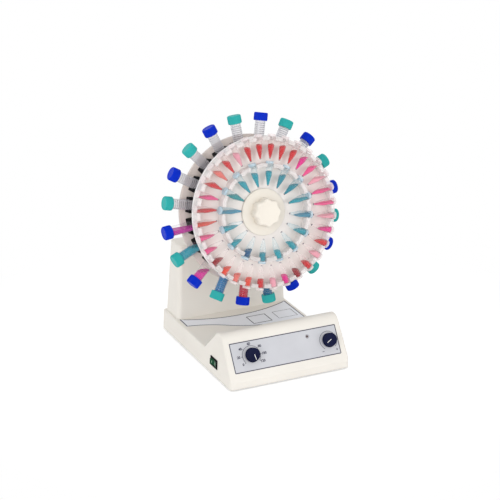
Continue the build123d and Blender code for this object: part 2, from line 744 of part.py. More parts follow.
def centre_drum():
    """Hollow spacer drum that sets the distance between the two discs."""
    low, high = BACK_DISC_FRONT, FRONT_DISC_BACK
    drum = prism(DRUM_RADIUS, low, high, sides=2 * TURNED_SIDES)
    drum -= prism(DRUM_RADIUS - DRUM_WALL, low + DRUM_WALL, high - DRUM_WALL, sides=TURNED_SIDES)
    return ROTOR * (drum - hole(SHAFT_RADIUS + RUNNING_GAP, low - 1, high + 1, sides=TURNED_SIDES))


def front_disc():
    """Clear acrylic disc that carries the two slotted rings."""
    disc = prism(FRONT_DISC_RADIUS, FRONT_DISC_BACK, FRONT_DISC_FRONT, sides=DISC_SIDES)
    bore = SHAFT_RADIUS + RUNNING_GAP
    disc -= hole(bore, FRONT_DISC_BACK - 1, FRONT_DISC_FRONT + 1, sides=TURNED_SIDES)
    return ROTOR * disc


def micro_tube(tip):
    """A closed 1.5 ml tube: conical tip, barrel and hinged lid, drawn outwards along z."""
    shoulder = tip + MICRO_CONE
    flange = shoulder + MICRO_BARREL
    cone = narrowed(MICRO_BARREL_RADIUS, MICRO_TIP_RADIUS, tip, shoulder, MICRO_SIDES)
    body = cone + prism(MICRO_BARREL_RADIUS, shoulder, flange, sides=MICRO_SIDES)
    return body + prism(MICRO_LID_RADIUS, flange, flange + MICRO_LID, sides=MICRO_SIDES)


def micro_tubes(tip, count, phase):
    """A ring of 1.5 ml tubes with their tips towards the hub."""
    one = Pos(0, 0, MICRO_AXIS) * Rot(0, 90, 0) * micro_tube(tip)
    return ROTOR * group(around(one, count, phase))


def tube_rack(tip, count, phase):
    """Clear ring with an open slot for each tube; the lids' flanges bear on its outside."""
    outer = tip + MICRO_CONE + MICRO_BARREL - FIT_GAP
    base, top = FRONT_DISC_FRONT, FRONT_DISC_FRONT + RACK_HEIGHT
    flats = RegularPolygon(outer, count, major_radius=False)
    flats -= RegularPolygon(outer - RACK_WALL, count, major_radius=False)
    ring = Pos(0, 0, base) * Rot(0, 0, phase + 180 / count) * extrude(flats, amount=RACK_HEIGHT)
    floor = base + RACK_FLOOR
    slot = slab(3 * RACK_WALL, 2 * (MICRO_BARREL_RADIUS + FIT_GAP), floor, top + 1)
    for cut in around(slot, count, phase, outer - RACK_WALL / 2):
        ring -= cut
    return ROTOR * ring


def hub_plate():
    """Cream washer plate under the hand knob."""
    low, high = FRONT_DISC_FRONT, HUB_PLATE_FRONT
    plate = prism(HUB_PLATE_RADIUS, low, high, sides=2 * TURNED_SIDES)
    return ROTOR * (plate - hole(SHAFT_RADIUS + RUNNING_GAP, low - 1, high + 1, sides=TURNED_SIDES))


def hub_knob():
    """Lobed hand knob, dished under its rim, with a blind bore for the shaft's thread."""
    low = HUB_PLATE_FRONT + FIT_GAP
    high = low + KNOB_HEIGHT
    corners = []
    for i in range(6 * KNOB_LOBES):
        angle = 2 * pi * i / (6 * KNOB_LOBES)
        radius = KNOB_RADIUS - KNOB_FLUTE * (1 - cos(KNOB_LOBES * angle)) / 2
        corners.append((radius * cos(angle), radius * sin(angle)))
    outline = make_face(Polyline(*corners, close=True))
    body = Pos(0, 0, low) * extrude(outline, amount=high - low)
    body = chamfer(body.faces().sort_by(Axis.Z)[-1].edges(), 1.2)
    body -= hole(SHAFT_RADIUS - 1 + RUNNING_GAP, low - 1, low + KNOB_BORE, sides=TURNED_SIDES)
    return ROTOR * body


# ---------------------------------------------------------------- controls


def front_panel_film():
    """Printed film on the console, cut out for the shafts and the lamp."""
    outline = Pos(0, PANEL_HEIGHT / 2, 0) * Rectangle(PANEL_WIDTH, PANEL_HEIGHT)
    film = extrude(chamfer(outline.vertices(), PANEL_CORNER), amount=PANEL_FILM)
    for x in (TIMER_X, SPEED_X):
        film -= hole(BUSHING_RADIUS + FIT_GAP, -1, 1, x, DIAL_Y, HOLE_SIDES)
    film -= hole(LED_RADIUS + FIT_GAP, -1, 1, LED_X, LED_Y, HOLE_SIDES)
    return PANEL * film


def dial_knob(x):
    """Ribbed knob with a plain skirt and a bore for the spindle."""
    low = PANEL_FILM + NUT_THICKNESS + DIAL_KNOB_GAP
    high = PANEL_FILM + DIAL_KNOB_HEIGHT
    step = 180.0 / DIAL_KNOB_FLUTES
    rim = [DIAL_KNOB_RADIUS - DIAL_KNOB_RIB * (i % 2) for i in range(2 * DIAL_KNOB_FLUTES)]
    corners = [
        (r * cos(radians(step * i)), r * sin(radians(step * i))) for i, r in enumerate(rim)
    ]
    grip = Pos(0, 0, low) * extrude(make_face(Polyline(*corners, close=True)), amount=high - low)
    skirt = prism(DIAL_KNOB_RADIUS, low, low + DIAL_KNOB_SKIRT, sides=TURNED_SIDES)
    bore = hole(CONTROL_SHAFT_RADIUS + RUNNING_GAP, low - 1, high - 2, sides=HOLE_SIDES)
    return PANEL * Pos(x, DIAL_Y, 0) * (grip + skirt - bore)


def control_nuts():
    """Hexagon nuts that clamp the timer and the speed control to the panel."""
    across = NUT_ACROSS / 2
    nut = extrude(RegularPolygon(across, 6, major_radius=False), amount=NUT_THICKNESS)
    nut -= hole(BUSHING_RADIUS + RUNNING_GAP, -1, NUT_THICKNESS + 1, sides=TURNED_SIDES)
    return group(PANEL * Pos(x, DIAL_Y, PANEL_FILM) * nut for x in (TIMER_X, SPEED_X))


def control_spindle(x):
    """Turning spindle from the control's body up into its knob."""
    top = PANEL_FILM + DIAL_KNOB_HEIGHT - 2.5
    return PANEL * prism(CONTROL_SHAFT_RADIUS, -WALL - 1, top, x, DIAL_Y, sides=HOLE_SIDES)


def bushing(x):
    """Threaded bushing through the panel, around the spindle."""
    top = PANEL_FILM + NUT_THICKNESS + 0.4
    return prism(BUSHING_RADIUS, -WALL - 1, top, x, DIAL_Y, sides=TURNED_SIDES)


def spindle_bore(x):
    """Clearance for the spindle inside a control's body."""
    radius = CONTROL_SHAFT_RADIUS + RUNNING_GAP
    return hole(radius, -WALL - 1.1, 2 * WALL, x, DIAL_Y, sides=HOLE_SIDES)


def timer_unit():
    """Timer movement behind the panel, with its bushing."""
    width, height, depth = TIMER_BODY
    body = slab(width, height, -WALL - FIT_GAP - depth, -WALL - FIT_GAP, TIMER_X, DIAL_Y)
    body = chamfer(body.edges().filter_by(Axis.Z), 3)
    return PANEL * (body + bushing(TIMER_X) - spindle_bore(TIMER_X))


def speed_control():
    """Round potentiometer behind the panel, with its bushing and terminal block."""
    back = -WALL - FIT_GAP - POT_LENGTH
    body = prism(POT_RADIUS, back, -WALL - FIT_GAP, SPEED_X, DIAL_Y, sides=TURNED_SIDES)
    terminals = slab(16, 10, back + 4, back + 6, SPEED_X, DIAL_Y - POT_RADIUS - 3)
    return PANEL * (body + terminals + bushing(SPEED_X) - spindle_bore(SPEED_X))


def power_lamp():
    """Small indicator lens with a bevelled end and a collar behind the panel."""
    lens = prism(LED_RADIUS, -WALL - 3, PANEL_FILM + 0.6, LED_X, LED_Y, sides=TURNED_SIDES)
    lens = chamfer(lens.faces().sort_by(Axis.Z)[-1].edges(), LED_RADIUS / 3)
    collar = prism(LED_RADIUS + 1, -WALL - 3, -WALL - FIT_GAP, LED_X, LED_Y)
    return PANEL * (lens + collar)


def switch_frame():
    """Bezel and body of the rocker switch in the left wall."""
    length, height = SWITCH_LENGTH, SWITCH_HEIGHT
    bezel = slab(length, height, 0, SWITCH_PROUD)
    bezel = chamfer(bezel.faces().sort_by(Axis.Z)[-1].edges(), 0.7)
    core = slab(length - 2 * SWITCH_FRAME, height - 2 * SWITCH_FRAME, -SWITCH_BODY_DEPTH, 0.5)
    pocket = slab(
        length - 2 * SWITCH_FRAME - 1.6, height - 2 * SWITCH_FRAME - 1.6, -9, SWITCH_PROUD + 1
    )
    return LEFT_WALL * (bezel + core - pocket)


def power_rocker():
    """Rocker with two crowned ends, pivoted at its middle, one end pressed in."""
    length = SWITCH_LENGTH - 2 * SWITCH_FRAME - 1.6 - 4 * FIT_GAP
    height = SWITCH_HEIGHT - 2 * SWITCH_FRAME - 1.6 - 2 * FIT_GAP
    crown = SWITCH_PROUD + ROCKER_CROWN
    half = length / 2
    points = [(-half, -1.5), (-half, crown), (0, 0.6), (half, crown), (half, -1.5), (0, -5)]
    face = Plane.XZ * make_face(Polyline(*points, close=True))
    rocker = extrude(face, amount=height / 2, both=True)
    return LEFT_WALL * Rot(0, ROCKER_THROW / 2, 0) * rocker


def deck_label():
    """Printed film on the deck: its back edge dips to the front, its left end is cut away."""
    side = BASE_WIDTH / 2 - TOWER_SIDE_STEP - LABEL_MARGIN
    back_y = TOWER_FRONT - FIT_GAP
    front_y = TOWER_FRONT - LABEL_DEPTH
    left_front = TOWER_FRONT - LABEL_NOTCH
    bend_x = (LABEL_NOTCH_X - side) / 2
    bend_y = (front_y + left_front) / 2
    run = (LABEL_NOTCH_X + side) / 4
    rise = LABEL_DEPTH - LABEL_NOTCH
    back = ThreePointArc((-side, back_y), (0, TOWER_FRONT - LABEL_DIP), (side, back_y))
    right = Polyline((side, back_y), (side, front_y), (LABEL_NOTCH_X, front_y))
    hollow = (LABEL_NOTCH_X - run, front_y + rise * 0.17)
    crown = (run - side, left_front - rise * 0.17)
    front = ThreePointArc((LABEL_NOTCH_X, front_y), hollow, (bend_x, bend_y))
    front += ThreePointArc((bend_x, bend_y), crown, (-side, left_front))
    left = Line((-side, left_front), (-side, back_y))
    face = make_face([back, right, front, left])
    return Pos(0, 0, DECK_Z) * extrude(face, amount=DECK_LABEL_FILM)


# ---------------------------------------------------------------- electrics


def power_inlet():
    """Appliance inlet in the tower's back wall, with an open socket."""
    flange = slab(INLET_WIDTH, INLET_HEIGHT, 0, INLET_FLANGE)
    flange = chamfer(flange.faces().sort_by(Axis.Z)[-1].edges(), 0.8)
    body = slab(INLET_WIDTH - 4, INLET_HEIGHT - 4, -INLET_DEPTH, 0.5)
    floor = INLET_FLANGE - SOCKET_DEPTH
    socket = slab(SOCKET_WIDTH, SOCKET_HEIGHT, floor, INLET_FLANGE + 1)
    socket = chamfer(socket.edges().filter_by(Axis.Z).sort_by(Axis.Y)[-2:], 4)
    return REAR_WALL * Pos(-INLET_X, 0, 0) * (flange + body - socket)


def inlet_pins():
    """Three flat pins that stand up from the socket's floor."""
    floor = INLET_FLANGE - SOCKET_DEPTH
    pin = slab(2, 4, floor, floor + PIN_LENGTH)
    places = [(-7, -2), (0, 2), (7, -2)]
    return group(REAR_WALL * Pos(-INLET_X + x, y, 0) * pin for x, y in places)


def fuse_holder():
    """Round panel fuse holder with its screw cap."""
    cap = prism(FUSE_RADIUS, 0, FUSE_PROUD, sides=TURNED_SIDES)
    cap = chamfer(cap.faces().sort_by(Axis.Z)[-1].edges(), 1)
    cap -= slab(10, 1.6, FUSE_PROUD - 1.5, FUSE_PROUD + 1)
    barrel = prism(FUSE_RADIUS - 2, -26, 0.5)
    return REAR_WALL * Pos(-FUSE_X, 0, 0) * (cap + barrel)


def control_board():
    """Circuit board above the base plate, with its larger parts."""
    width, height, thickness = BOARD
    low = PLATE_TOP + BOARD_RISE
    top = low + thickness
    board = slab(width, height, low, top, y=BOARD_Y)
    length, depth, tall = HEAT_SINK
    x, y = HEAT_SINK_PLACE
    heat_sink = slab(length, depth, top, top + tall, x, y)
    for i in range(4):
        fin_x = x + FIN_PITCH * (i - 1.5)
        heat_sink -= slab(FIN_GAP, depth + 2, top + FIN_GAP, top + tall + 1, fin_x, y)
    board += heat_sink
    radius, tall = CAPACITOR
    for x, y in CAPACITOR_PLACES:
        board += prism(radius, top, top + tall, x, y)
    length, depth, tall = RELAY
    board += slab(length, depth, top, top + tall, *RELAY_PLACE)
    for x, y in standoff_places():
        board -= hole(SCREW_RADIUS + FIT_GAP, low - 1, top + 1, x, y)
    return board


def standoff_places():
    """Corners of the circuit board."""
    x = BOARD[0] / 2 - BOARD_INSET
    y = BOARD[1] / 2 - BOARD_INSET
    return [(sx * x, BOARD_Y + sy * y) for sx in (-1, 1) for sy in (-1, 1)]


def board_standoffs():
    """Pillars with a stud that passes through the board."""
    seat = PLATE_TOP + BOARD_RISE
    pillar = prism(PILLAR_RADIUS, PLATE_TOP, seat)
    pillar += prism(SCREW_RADIUS, seat - 0.5, seat + BOARD[2] + STUD_PROUD)
    return group(Pos(x, y, 0) * pillar for x, y in standoff_places())


def mains_transformer():
    """Laminated transformer on the base plate under the tower."""
    y = (TOWER_FRONT + TOWER_REAR) / 2
    length, depth, tall = TRANSFORMER
    core = slab(length, depth, PLATE_TOP, PLATE_TOP + tall, TRANSFORMER_X, y)
    coil_length, coil_depth, coil_tall = BOBBIN
    coil_low = PLATE_TOP + (tall - coil_tall) / 2
    coil = slab(coil_length, coil_depth, coil_low, coil_low + coil_tall, TRANSFORMER_X, y)
    bracket_length, bracket_thickness = BRACKET
    feet = slab(
        bracket_length, depth, PLATE_TOP, PLATE_TOP + bracket_thickness, TRANSFORMER_X, y
    )
    return core + coil + feet


NODES = {
    "housing_shell": housing_shell,
    "base_plate": base_plate,
    "rubber_feet": rubber_feet,
    "base_screws": base_screws,
    "head_shell": head_shell,
    "head_screws": head_screws,
    "head_rear_cover": head_rear_cover,
    "cover_screws": cover_screws,
    "shaft_bearings": shaft_bearings,
    "motor_plate": motor_plate,
    "gear_motor": gear_motor,
    "drive_shaft": drive_shaft,
    "gearbox_output": gearbox_output,
    "hub_flange": hub_flange,
    "flange_screws": flange_screws,
    "back_disc": back_disc,
    "tube_clips": tube_clips,
    "large_tubes": large_tubes,
    "blue_caps": lambda: tube_caps(0),
    "teal_caps": lambda: tube_caps(1),
    "centre_drum": centre_drum,
    "front_disc": front_disc,
    "outer_tube_rack": lambda: tube_rack(OUTER_TIP, OUTER_COUNT, OUTER_PHASE),
    "inner_tube_rack": lambda: tube_rack(INNER_TIP, INNER_COUNT, INNER_PHASE),
    "outer_micro_tubes": lambda: micro_tubes(OUTER_TIP, OUTER_COUNT, OUTER_PHASE),
    "inner_micro_tubes": lambda: micro_tubes(INNER_TIP, INNER_COUNT, INNER_PHASE),
    "hub_plate": hub_plate,
    "hub_knob": hub_knob,
    "front_panel_film": front_panel_film,
    "control_nuts": control_nuts,
    "timer_unit": timer_unit,
    "timer_spindle": lambda: control_spindle(TIMER_X),
    "timer_knob": lambda: dial_knob(TIMER_X),
    "speed_control": speed_control,
    "speed_spindle": lambda: control_spindle(SPEED_X),
    "speed_knob": lambda: dial_knob(SPEED_X),
    "power_lamp": power_lamp,
    "switch_frame": switch_frame,
    "power_rocker": power_rocker,
    "deck_label": deck_label,
    "power_inlet": power_inlet,
    "inlet_pins": inlet_pins,
    "fuse_holder": fuse_holder,
    "control_board": control_board,
    "board_standoffs": board_standoffs,
    "mains_transformer": mains_transformer,
}

os.makedirs("parts", exist_ok=True)
for name, make in NODES.items():
    export_step(make(), f"parts/{name}.step")
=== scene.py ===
"""Studio scene of the tube rotator: finishes, printing, clear tubes and what is in them.

The part's solids keep their own meshes and are given finishes here.  Clear, ribbed and printed
pieces are drawn as numpy surfaces in millimetres, in the part's frame: +Z up, -Y towards the
control panel, origin on the bench under the middle of the footprint.
"""

from math import atan2, cos, pi, radians, sin

import bpy
import numpy as np
from mathutils import Matrix, Vector


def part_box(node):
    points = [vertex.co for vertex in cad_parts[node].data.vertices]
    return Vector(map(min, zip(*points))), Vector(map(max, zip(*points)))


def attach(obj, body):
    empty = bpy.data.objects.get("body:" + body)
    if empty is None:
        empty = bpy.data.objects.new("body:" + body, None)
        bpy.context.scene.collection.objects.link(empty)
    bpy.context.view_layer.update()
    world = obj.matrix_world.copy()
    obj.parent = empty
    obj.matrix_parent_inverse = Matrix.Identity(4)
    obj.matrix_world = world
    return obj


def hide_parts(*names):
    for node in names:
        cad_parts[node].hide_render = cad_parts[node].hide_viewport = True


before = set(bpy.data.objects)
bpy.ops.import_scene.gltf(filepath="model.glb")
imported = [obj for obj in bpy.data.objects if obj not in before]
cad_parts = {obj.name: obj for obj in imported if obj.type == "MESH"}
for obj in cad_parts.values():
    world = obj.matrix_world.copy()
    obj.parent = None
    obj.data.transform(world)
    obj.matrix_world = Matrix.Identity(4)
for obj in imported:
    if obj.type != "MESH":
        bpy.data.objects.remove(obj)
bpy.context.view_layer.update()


# ------------------------------------------------------------------ housing and motor head
# The housing and the head are injection moulded in warm ivory plastic with a fine spark-eroded
# grain.  The head sits on the tower and is held by screws from inside.


def effect(name, inputs, outputs):
    """An empty node group with named sockets; gives the group, its input and its output."""
    group = bpy.data.node_groups.new(name, "ShaderNodeTree")
    for label, kind, value in inputs:
        socket = group.interface.new_socket(label, in_out="INPUT", socket_type=kind)
        socket.default_value = value
    for label, kind in outputs:
        group.interface.new_socket(label, in_out="OUTPUT", socket_type=kind)
    return group, group.nodes.new("NodeGroupInput"), group.nodes.new("NodeGroupOutput")


def calculate(group, operation, *values):
    """A math node on sockets or plain numbers; gives its result."""
    node = group.nodes.new("ShaderNodeMath")
    node.operation = operation
    for socket, value in zip(node.inputs, values):
        if isinstance(value, (int, float)):
            socket.default_value = value
        else:
            group.links.new(value, socket)
    return node.outputs[0]


def blended(group, factor, first, second):
    """Colour between two others, by a factor from 0 to 1."""
    node = group.nodes.new("ShaderNodeMix")
    node.data_type = "RGBA"
    for socket, value in zip((node.inputs[0], node.inputs[6], node.inputs[7]), (factor, first, second)):
        if isinstance(value, (tuple, float)):
            socket.default_value = value
        else:
            group.links.new(value, socket)
    return node.outputs[2]


def noise(group, scale, detail=2.0, stretch=(1, 1, 1)):
    """Noise in the object's own coordinates, which are the part's frame in metres."""
    place = group.nodes.new("ShaderNodeTexCoord")
    mapping = group.nodes.new("ShaderNodeMapping")
    mapping.inputs["Scale"].default_value = stretch
    texture = group.nodes.new("ShaderNodeTexNoise")
    texture.inputs["Scale"].default_value = scale
    texture.inputs["Detail"].default_value = detail
    group.links.new(place.outputs["Object"], mapping.inputs["Vector"])
    group.links.new(mapping.outputs["Vector"], texture.inputs["Vector"])
    return texture.outputs["Fac"]


SURFACE_INPUTS = [
    ("Color", "NodeSocketColor", (0.8, 0.8, 0.8, 1)),
    ("Shade", "NodeSocketColor", (0.7, 0.7, 0.7, 1)),
    ("Roughness", "NodeSocketFloat", 0.5),
]
SURFACE_OUTPUTS = [
    ("Color", "NodeSocketColor"),
    ("Roughness", "NodeSocketFloat"),
    ("Height", "NodeSocketFloat"),
]


def surface_effect(name, fine, fine_stretch, broad, spread):
    """Broad mottling between two colours, with a fine grain in the height and the roughness."""
    group, source, result = effect(name, SURFACE_INPUTS, SURFACE_OUTPUTS)
    grain = noise(group, fine, 3.0, fine_stretch)
    cloud = noise(group, broad, 2.0)
    contrast = calculate(group, "MULTIPLY_ADD", cloud, 3.0, -1.0)
    colour = blended(group, contrast, source.outputs["Color"], source.outputs["Shade"])
    wobble = calculate(group, "MULTIPLY_ADD", grain, spread, -spread / 2)
    rough = calculate(group, "ADD", source.outputs["Roughness"], wobble)
    group.links.new(colour, result.inputs["Color"])
    group.links.new(rough, result.inputs["Roughness"])
    group.links.new(grain, result.inputs["Height"])
    return group


MOULDED = surface_effect("moulded_grain", 1400.0, (1, 1, 1), 14.0, 0.16)
BRUSHED = surface_effect("brushed_lines", 90.0, (1, 1, 30), 25.0, 0.3)
COATED = surface_effect("powder_coat", 700.0, (1, 1, 1), 30.0, 0.2)


def finish(name, group, colour, shade, roughness, bump=0.1, edge=0.0, **values):
    """A Principled material fed by an effect group, with plain values set on its sockets.

    edge is the radius over which the shading rounds off sharp edges, in millimetres.
    """
    material = bpy.data.materials.new(name)
    material.use_nodes = True
    tree = material.node_tree
    shader = tree.nodes["Principled BSDF"]
    node = tree.nodes.new("ShaderNodeGroup")
    node.node_tree = group
    node.inputs["Color"].default_value = (*colour, 1)
    node.inputs["Shade"].default_value = (*shade, 1)
    node.inputs["Roughness"].default_value = roughness
    relief = tree.nodes.new("ShaderNodeBump")
    relief.inputs["Strength"].default_value = bump
    relief.inputs["Distance"].default_value = 0.0002
    tree.links.new(node.outputs["Color"], shader.inputs["Base Color"])
    tree.links.new(node.outputs["Roughness"], shader.inputs["Roughness"])
    tree.links.new(node.outputs["Height"], relief.inputs["Height"])
    tree.links.new(relief.outputs["Normal"], shader.inputs["Normal"])
    if edge:
        rounding = tree.nodes.new("ShaderNodeBevel")
        rounding.samples = 4
        rounding.inputs["Radius"].default_value = edge / 1000
        tree.links.new(rounding.outputs["Normal"], relief.inputs["Normal"])
    for label, value in values.items():
        shader.inputs[label.replace("_", " ")].default_value = value
    return material


def coat(material, *nodes):
    """Puts a material on the slots of CAD nodes."""
    for node in nodes:
        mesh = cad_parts[node].data
        mesh.materials.clear()
        mesh.materials.append(material)


cream = finish("cream_plastic", MOULDED, (0.82, 0.785, 0.725), (0.79, 0.755, 0.695), 0.45, 0.12, 1.6)
coat(cream, "housing_shell", "head_shell", "head_rear_cover")


# ------------------------------------------------------------------ underside
# A powder-coated steel plate closes the housing from below.  Four black rubber feet carry it,
# and six zinc-plated screws hold it to the housing's bosses.

painted = finish("painted_plate", COATED, (0.62, 0.61, 0.57), (0.58, 0.57, 0.53), 0.55, 0.3, 0.3)
rubber = finish("foot_rubber", MOULDED, (0.012, 0.012, 0.013), (0.02, 0.02, 0.02), 0.75, 0.3, 0.5)
metal = {"Metallic": 1.0}
zinc = finish("zinc_steel", BRUSHED, (0.60, 0.60, 0.58), (0.50, 0.50, 0.48), 0.34, 0.1, 0.2, **metal)
coat(painted, "base_plate")
coat(rubber, "rubber_feet")
coat(zinc, "base_screws", "cover_screws", "head_screws", "flange_screws", "motor_plate", "control_nuts")


# ------------------------------------------------------------------ drive
# Ground steel shaft in two ball bearings, a turned aluminium flange, and a gear motor in
# plated steel cans.

ground = finish("bare_steel", BRUSHED, (0.62, 0.62, 0.63), (0.52, 0.52, 0.53), 0.22, 0.08, 0.2, **metal)
cans = finish("motor_steel", BRUSHED, (0.34, 0.34, 0.36), (0.27, 0.27, 0.29), 0.4, 0.15, 0.4, **metal)
turned_metal = finish(
    "turned_aluminium", BRUSHED, (0.70, 0.70, 0.71), (0.62, 0.62, 0.63), 0.3, 0.15, 0.3, **metal
)
coat(ground, "shaft_bearings", "drive_shaft", "gearbox_output")
coat(ground, "timer_spindle", "speed_spindle", "inlet_pins")
coat(cans, "gear_motor", "timer_unit", "speed_control", "mains_transformer")
coat(turned_metal, "hub_flange")


# ------------------------------------------------------------------ electrics
# A green circuit board on brass pillars inside the base, and an appliance inlet and a fuse
# holder in matt black nylon that snap into the back of the tower.

board_green = finish("circuit_board", COATED, (0.02, 0.14, 0.05), (0.03, 0.20, 0.07), 0.35, 0.3, 0.2)
brass = finish("brass_pillars", BRUSHED, (0.68, 0.50, 0.20), (0.58, 0.42, 0.16), 0.3, 0.1, 0.2, **metal)
matt = {"Specular_IOR_Level": 0.04}
black = finish("black_plastic", MOULDED, (0.006, 0.006, 0.007), (0.01, 0.01, 0.012), 0.6, 0.15, 0.5, **matt)
coat(board_green, "control_board")
coat(brass, "board_standoffs")
coat(black, "power_inlet", "fuse_holder", "switch_frame", "tube_clips")


# ------------------------------------------------------------------ back disc
# Satin ivory moulding screwed to the flange, plain in front where the clips stand and with a
# stiffening rim behind.  The rotor's own frame has z along its axis, which leans back.

TILT, HUB_Y, HUB_Z = radians(12.4), 10.35, 243.5
ROTOR = np.array(
    [
        [1, 0, 0, 0],
        [0, sin(TILT), -cos(TILT), HUB_Y],
        [0, cos(TILT), sin(TILT), HUB_Z],
        [0, 0, 0, 1],
    ]
)


def turned(radii, heights, sides, closed=False):
    """Turned surface: the point (r, z) of a profile goes to (r cos t, r sin t, z).

    radii is one radius a row, or a whole row of radii round the axis.  A row of radius 0 is a
    single point.  The profile runs up the outside, so that normals face outwards, and closed
    joins its ends.  Gives points, face corners, corners a face, and each corner's turn and
    distance along the profile.
    """
    heights = np.asarray(heights, float)
    radii = np.asarray(radii, float)
    if radii.ndim == 1:
        radii = np.repeat(radii[:, None], sides, axis=1)
    turn = np.arange(sides) * 2 * pi / sides
    points = np.stack(
        [radii * np.cos(turn), radii * np.sin(turn), np.repeat(heights[:, None], sides, 1)], -1
    )
    grid = np.arange(points[..., 0].size).reshape(radii.shape)
    pole = np.all(radii == 0, axis=1)
    grid[pole] = grid[pole][:, :1]
    if closed:
        grid = np.vstack([grid, grid[:1]])
        radii = np.vstack([radii, radii[:1]])
        heights = np.append(heights, heights[0])
    steps = np.hypot(np.diff(radii.mean(1)), np.diff(heights))
    along = np.append(0.0, np.cumsum(steps))
    beside = np.roll(grid, -1, axis=1)
    quads = np.stack([grid[:-1], beside[:-1], beside[1:], grid[1:]], -1).reshape(-1, 4)
    turns = np.arange(sides + 1) / sides
    low, high = np.meshgrid(along[:-1], turns[:-1], indexing="ij")
    low_next, high_next = np.meshgrid(along[1:], turns[1:], indexing="ij")
    turns_at = np.stack([high, high_next, high_next, high], -1)
    along_at = np.stack([low, low, low_next, low_next], -1)
    places = np.stack([turns_at, along_at], -1).reshape(-1, 4, 2)
    kept = quads != np.roll(quads, 1, axis=1)
    used, corners = np.unique(quads[kept], return_inverse=True)
    return points.reshape(-1, 3)[used], corners, kept.sum(1), places[kept]


def repeated(shape, matrices):
    """Copies of a shape, one for each 4 x 4 matrix, side by side in one mesh."""
    points, corners, sizes, places = shape
    matrices = np.asarray(matrices)
    copies = len(matrices)
    moved = np.einsum("nij,vj->nvi", matrices[:, :3, :3], points) + matrices[:, None, :3, 3]
    offsets = np.arange(copies)[:, None] * len(points)
    return (
        moved.reshape(-1, 3),
        (corners[None] + offsets).ravel(),
        np.tile(sizes, copies),
        np.tile(places, (copies, 1)),
    )


def joined(shapes):
    """Several shapes as one."""
    counts = np.cumsum([0] + [len(s[0]) for s in shapes])
    return (
        np.vstack([s[0] for s in shapes]),
        np.concatenate([s[1] + n for s, n in zip(shapes, counts)]),
        np.concatenate([s[2] for s in shapes]),
        np.vstack([s[3] for s in shapes]),
    )


def piece(name, shape, material, body, crease=35.0, tints=None):
    """Makes a shape in millimetres an object in metres that rides on a body."""
    points, corners, sizes, places = shape
    mesh = bpy.data.meshes.new(name)
    mesh.vertices.add(len(points))
    mesh.vertices.foreach_set("co", (points / 1000).astype(np.float32).ravel())
    mesh.loops.add(len(corners))
    mesh.loops.foreach_set("vertex_index", corners.astype(np.int32))
    mesh.polygons.add(len(sizes))
    mesh.polygons.foreach_set("loop_start", (np.cumsum(sizes) - sizes).astype(np.int32))
    layer = mesh.uv_layers.new(name="UVMap")
    layer.data.foreach_set("uv", places.astype(np.float32).ravel())
    if tints is not None:
        colours = mesh.color_attributes.new("tint", "FLOAT_COLOR", "POINT")
        colours.data.foreach_set("color", tints.astype(np.float32).ravel())
    mesh.update(calc_edges=True)
    mesh.polygons.foreach_set("use_smooth", np.ones(len(sizes), bool))
    mesh.set_sharp_from_angle(angle=radians(crease))
    mesh.materials.append(material)
    made = bpy.data.objects.new(name, mesh)
    bpy.context.scene.collection.objects.link(made)
    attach(made, body)
    return made


def washer(outer, inner, low, high, soft=0.6, sides=192):
    """Flat ring with softened outer edges."""
    bevel = 0.3 * soft
    radii = [inner, outer - soft, outer - bevel, outer, outer, outer - bevel, outer - soft, inner]
    heights = [low, low, low + bevel, low + soft, high - soft, high - bevel, high, high]
    return turned(radii, heights, sides, closed=True)


satin = finish("disc_plastic", MOULDED, (0.80, 0.70, 0.645), (0.76, 0.66, 0.605), 0.5, 0.1, 0.8)
DISC_RADIUS, SHAFT_HOLE = 122.8, 6.1
RIM_LOW, DISC_LOW, DISC_HIGH = -15.3, -13.3, -10.3
behind = [RIM_LOW, RIM_LOW, DISC_LOW, DISC_LOW]
disc = joined(
    [
        washer(DISC_RADIUS, SHAFT_HOLE, DISC_LOW, DISC_HIGH),
        turned([118.9, DISC_RADIUS, DISC_RADIUS, 118.9], behind, 192, True),
        turned([26.2, 34, 34, 26.2], behind, 96, True),
    ]
)
back = piece("back_disc_smooth", repeated(disc, [ROTOR]), satin, "rotor")
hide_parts("back_disc")
coat(satin, "back_disc")


# ------------------------------------------------------------------ 15 ml tubes
# Clear polypropylene tubes with a conical end, printed graduations on one side and a frosted
# patch to write on.  Each is pressed into a clip and stays a little in or out, as a hand left it.
# Sizes along a tube are distances from the rotor's axis.

LARGE_ANGLES = 78.4 - 18.0 * np.arange(20)
SLIDES = [0.0, -0.6, -0.2, -1.6, -1.2, -1.0, 0.0, -1.2, -3.6, -0.6]
SLIDES = np.array(SLIDES + [-1.0, 0.0, 0.4, 0.2, -0.2, -3.2, -2.2, -4.0, -3.0, -1.8])


def outward(angles, axis_height=0.0, slides=None):
    """Matrices that turn a shape drawn along z to point out from the rotor's axis."""
    angles = np.radians(np.asarray(angles, float))
    slides = np.zeros(len(angles)) if slides is None else slides
    matrices = np.zeros((len(angles), 4, 4))
    matrices[:, 0, 1] = -np.sin(angles)
    matrices[:, 1, 1] = np.cos(angles)
    matrices[:, 0, 2] = np.cos(angles)
    matrices[:, 1, 2] = np.sin(angles)
    matrices[:, 2, 0] = -1
    matrices[:, 0, 3] = slides * np.cos(angles)
    matrices[:, 1, 3] = slides * np.sin(angles)
    matrices[:, 2, 3] = axis_height
    matrices[:, 3, 3] = 1
    return ROTOR @ matrices


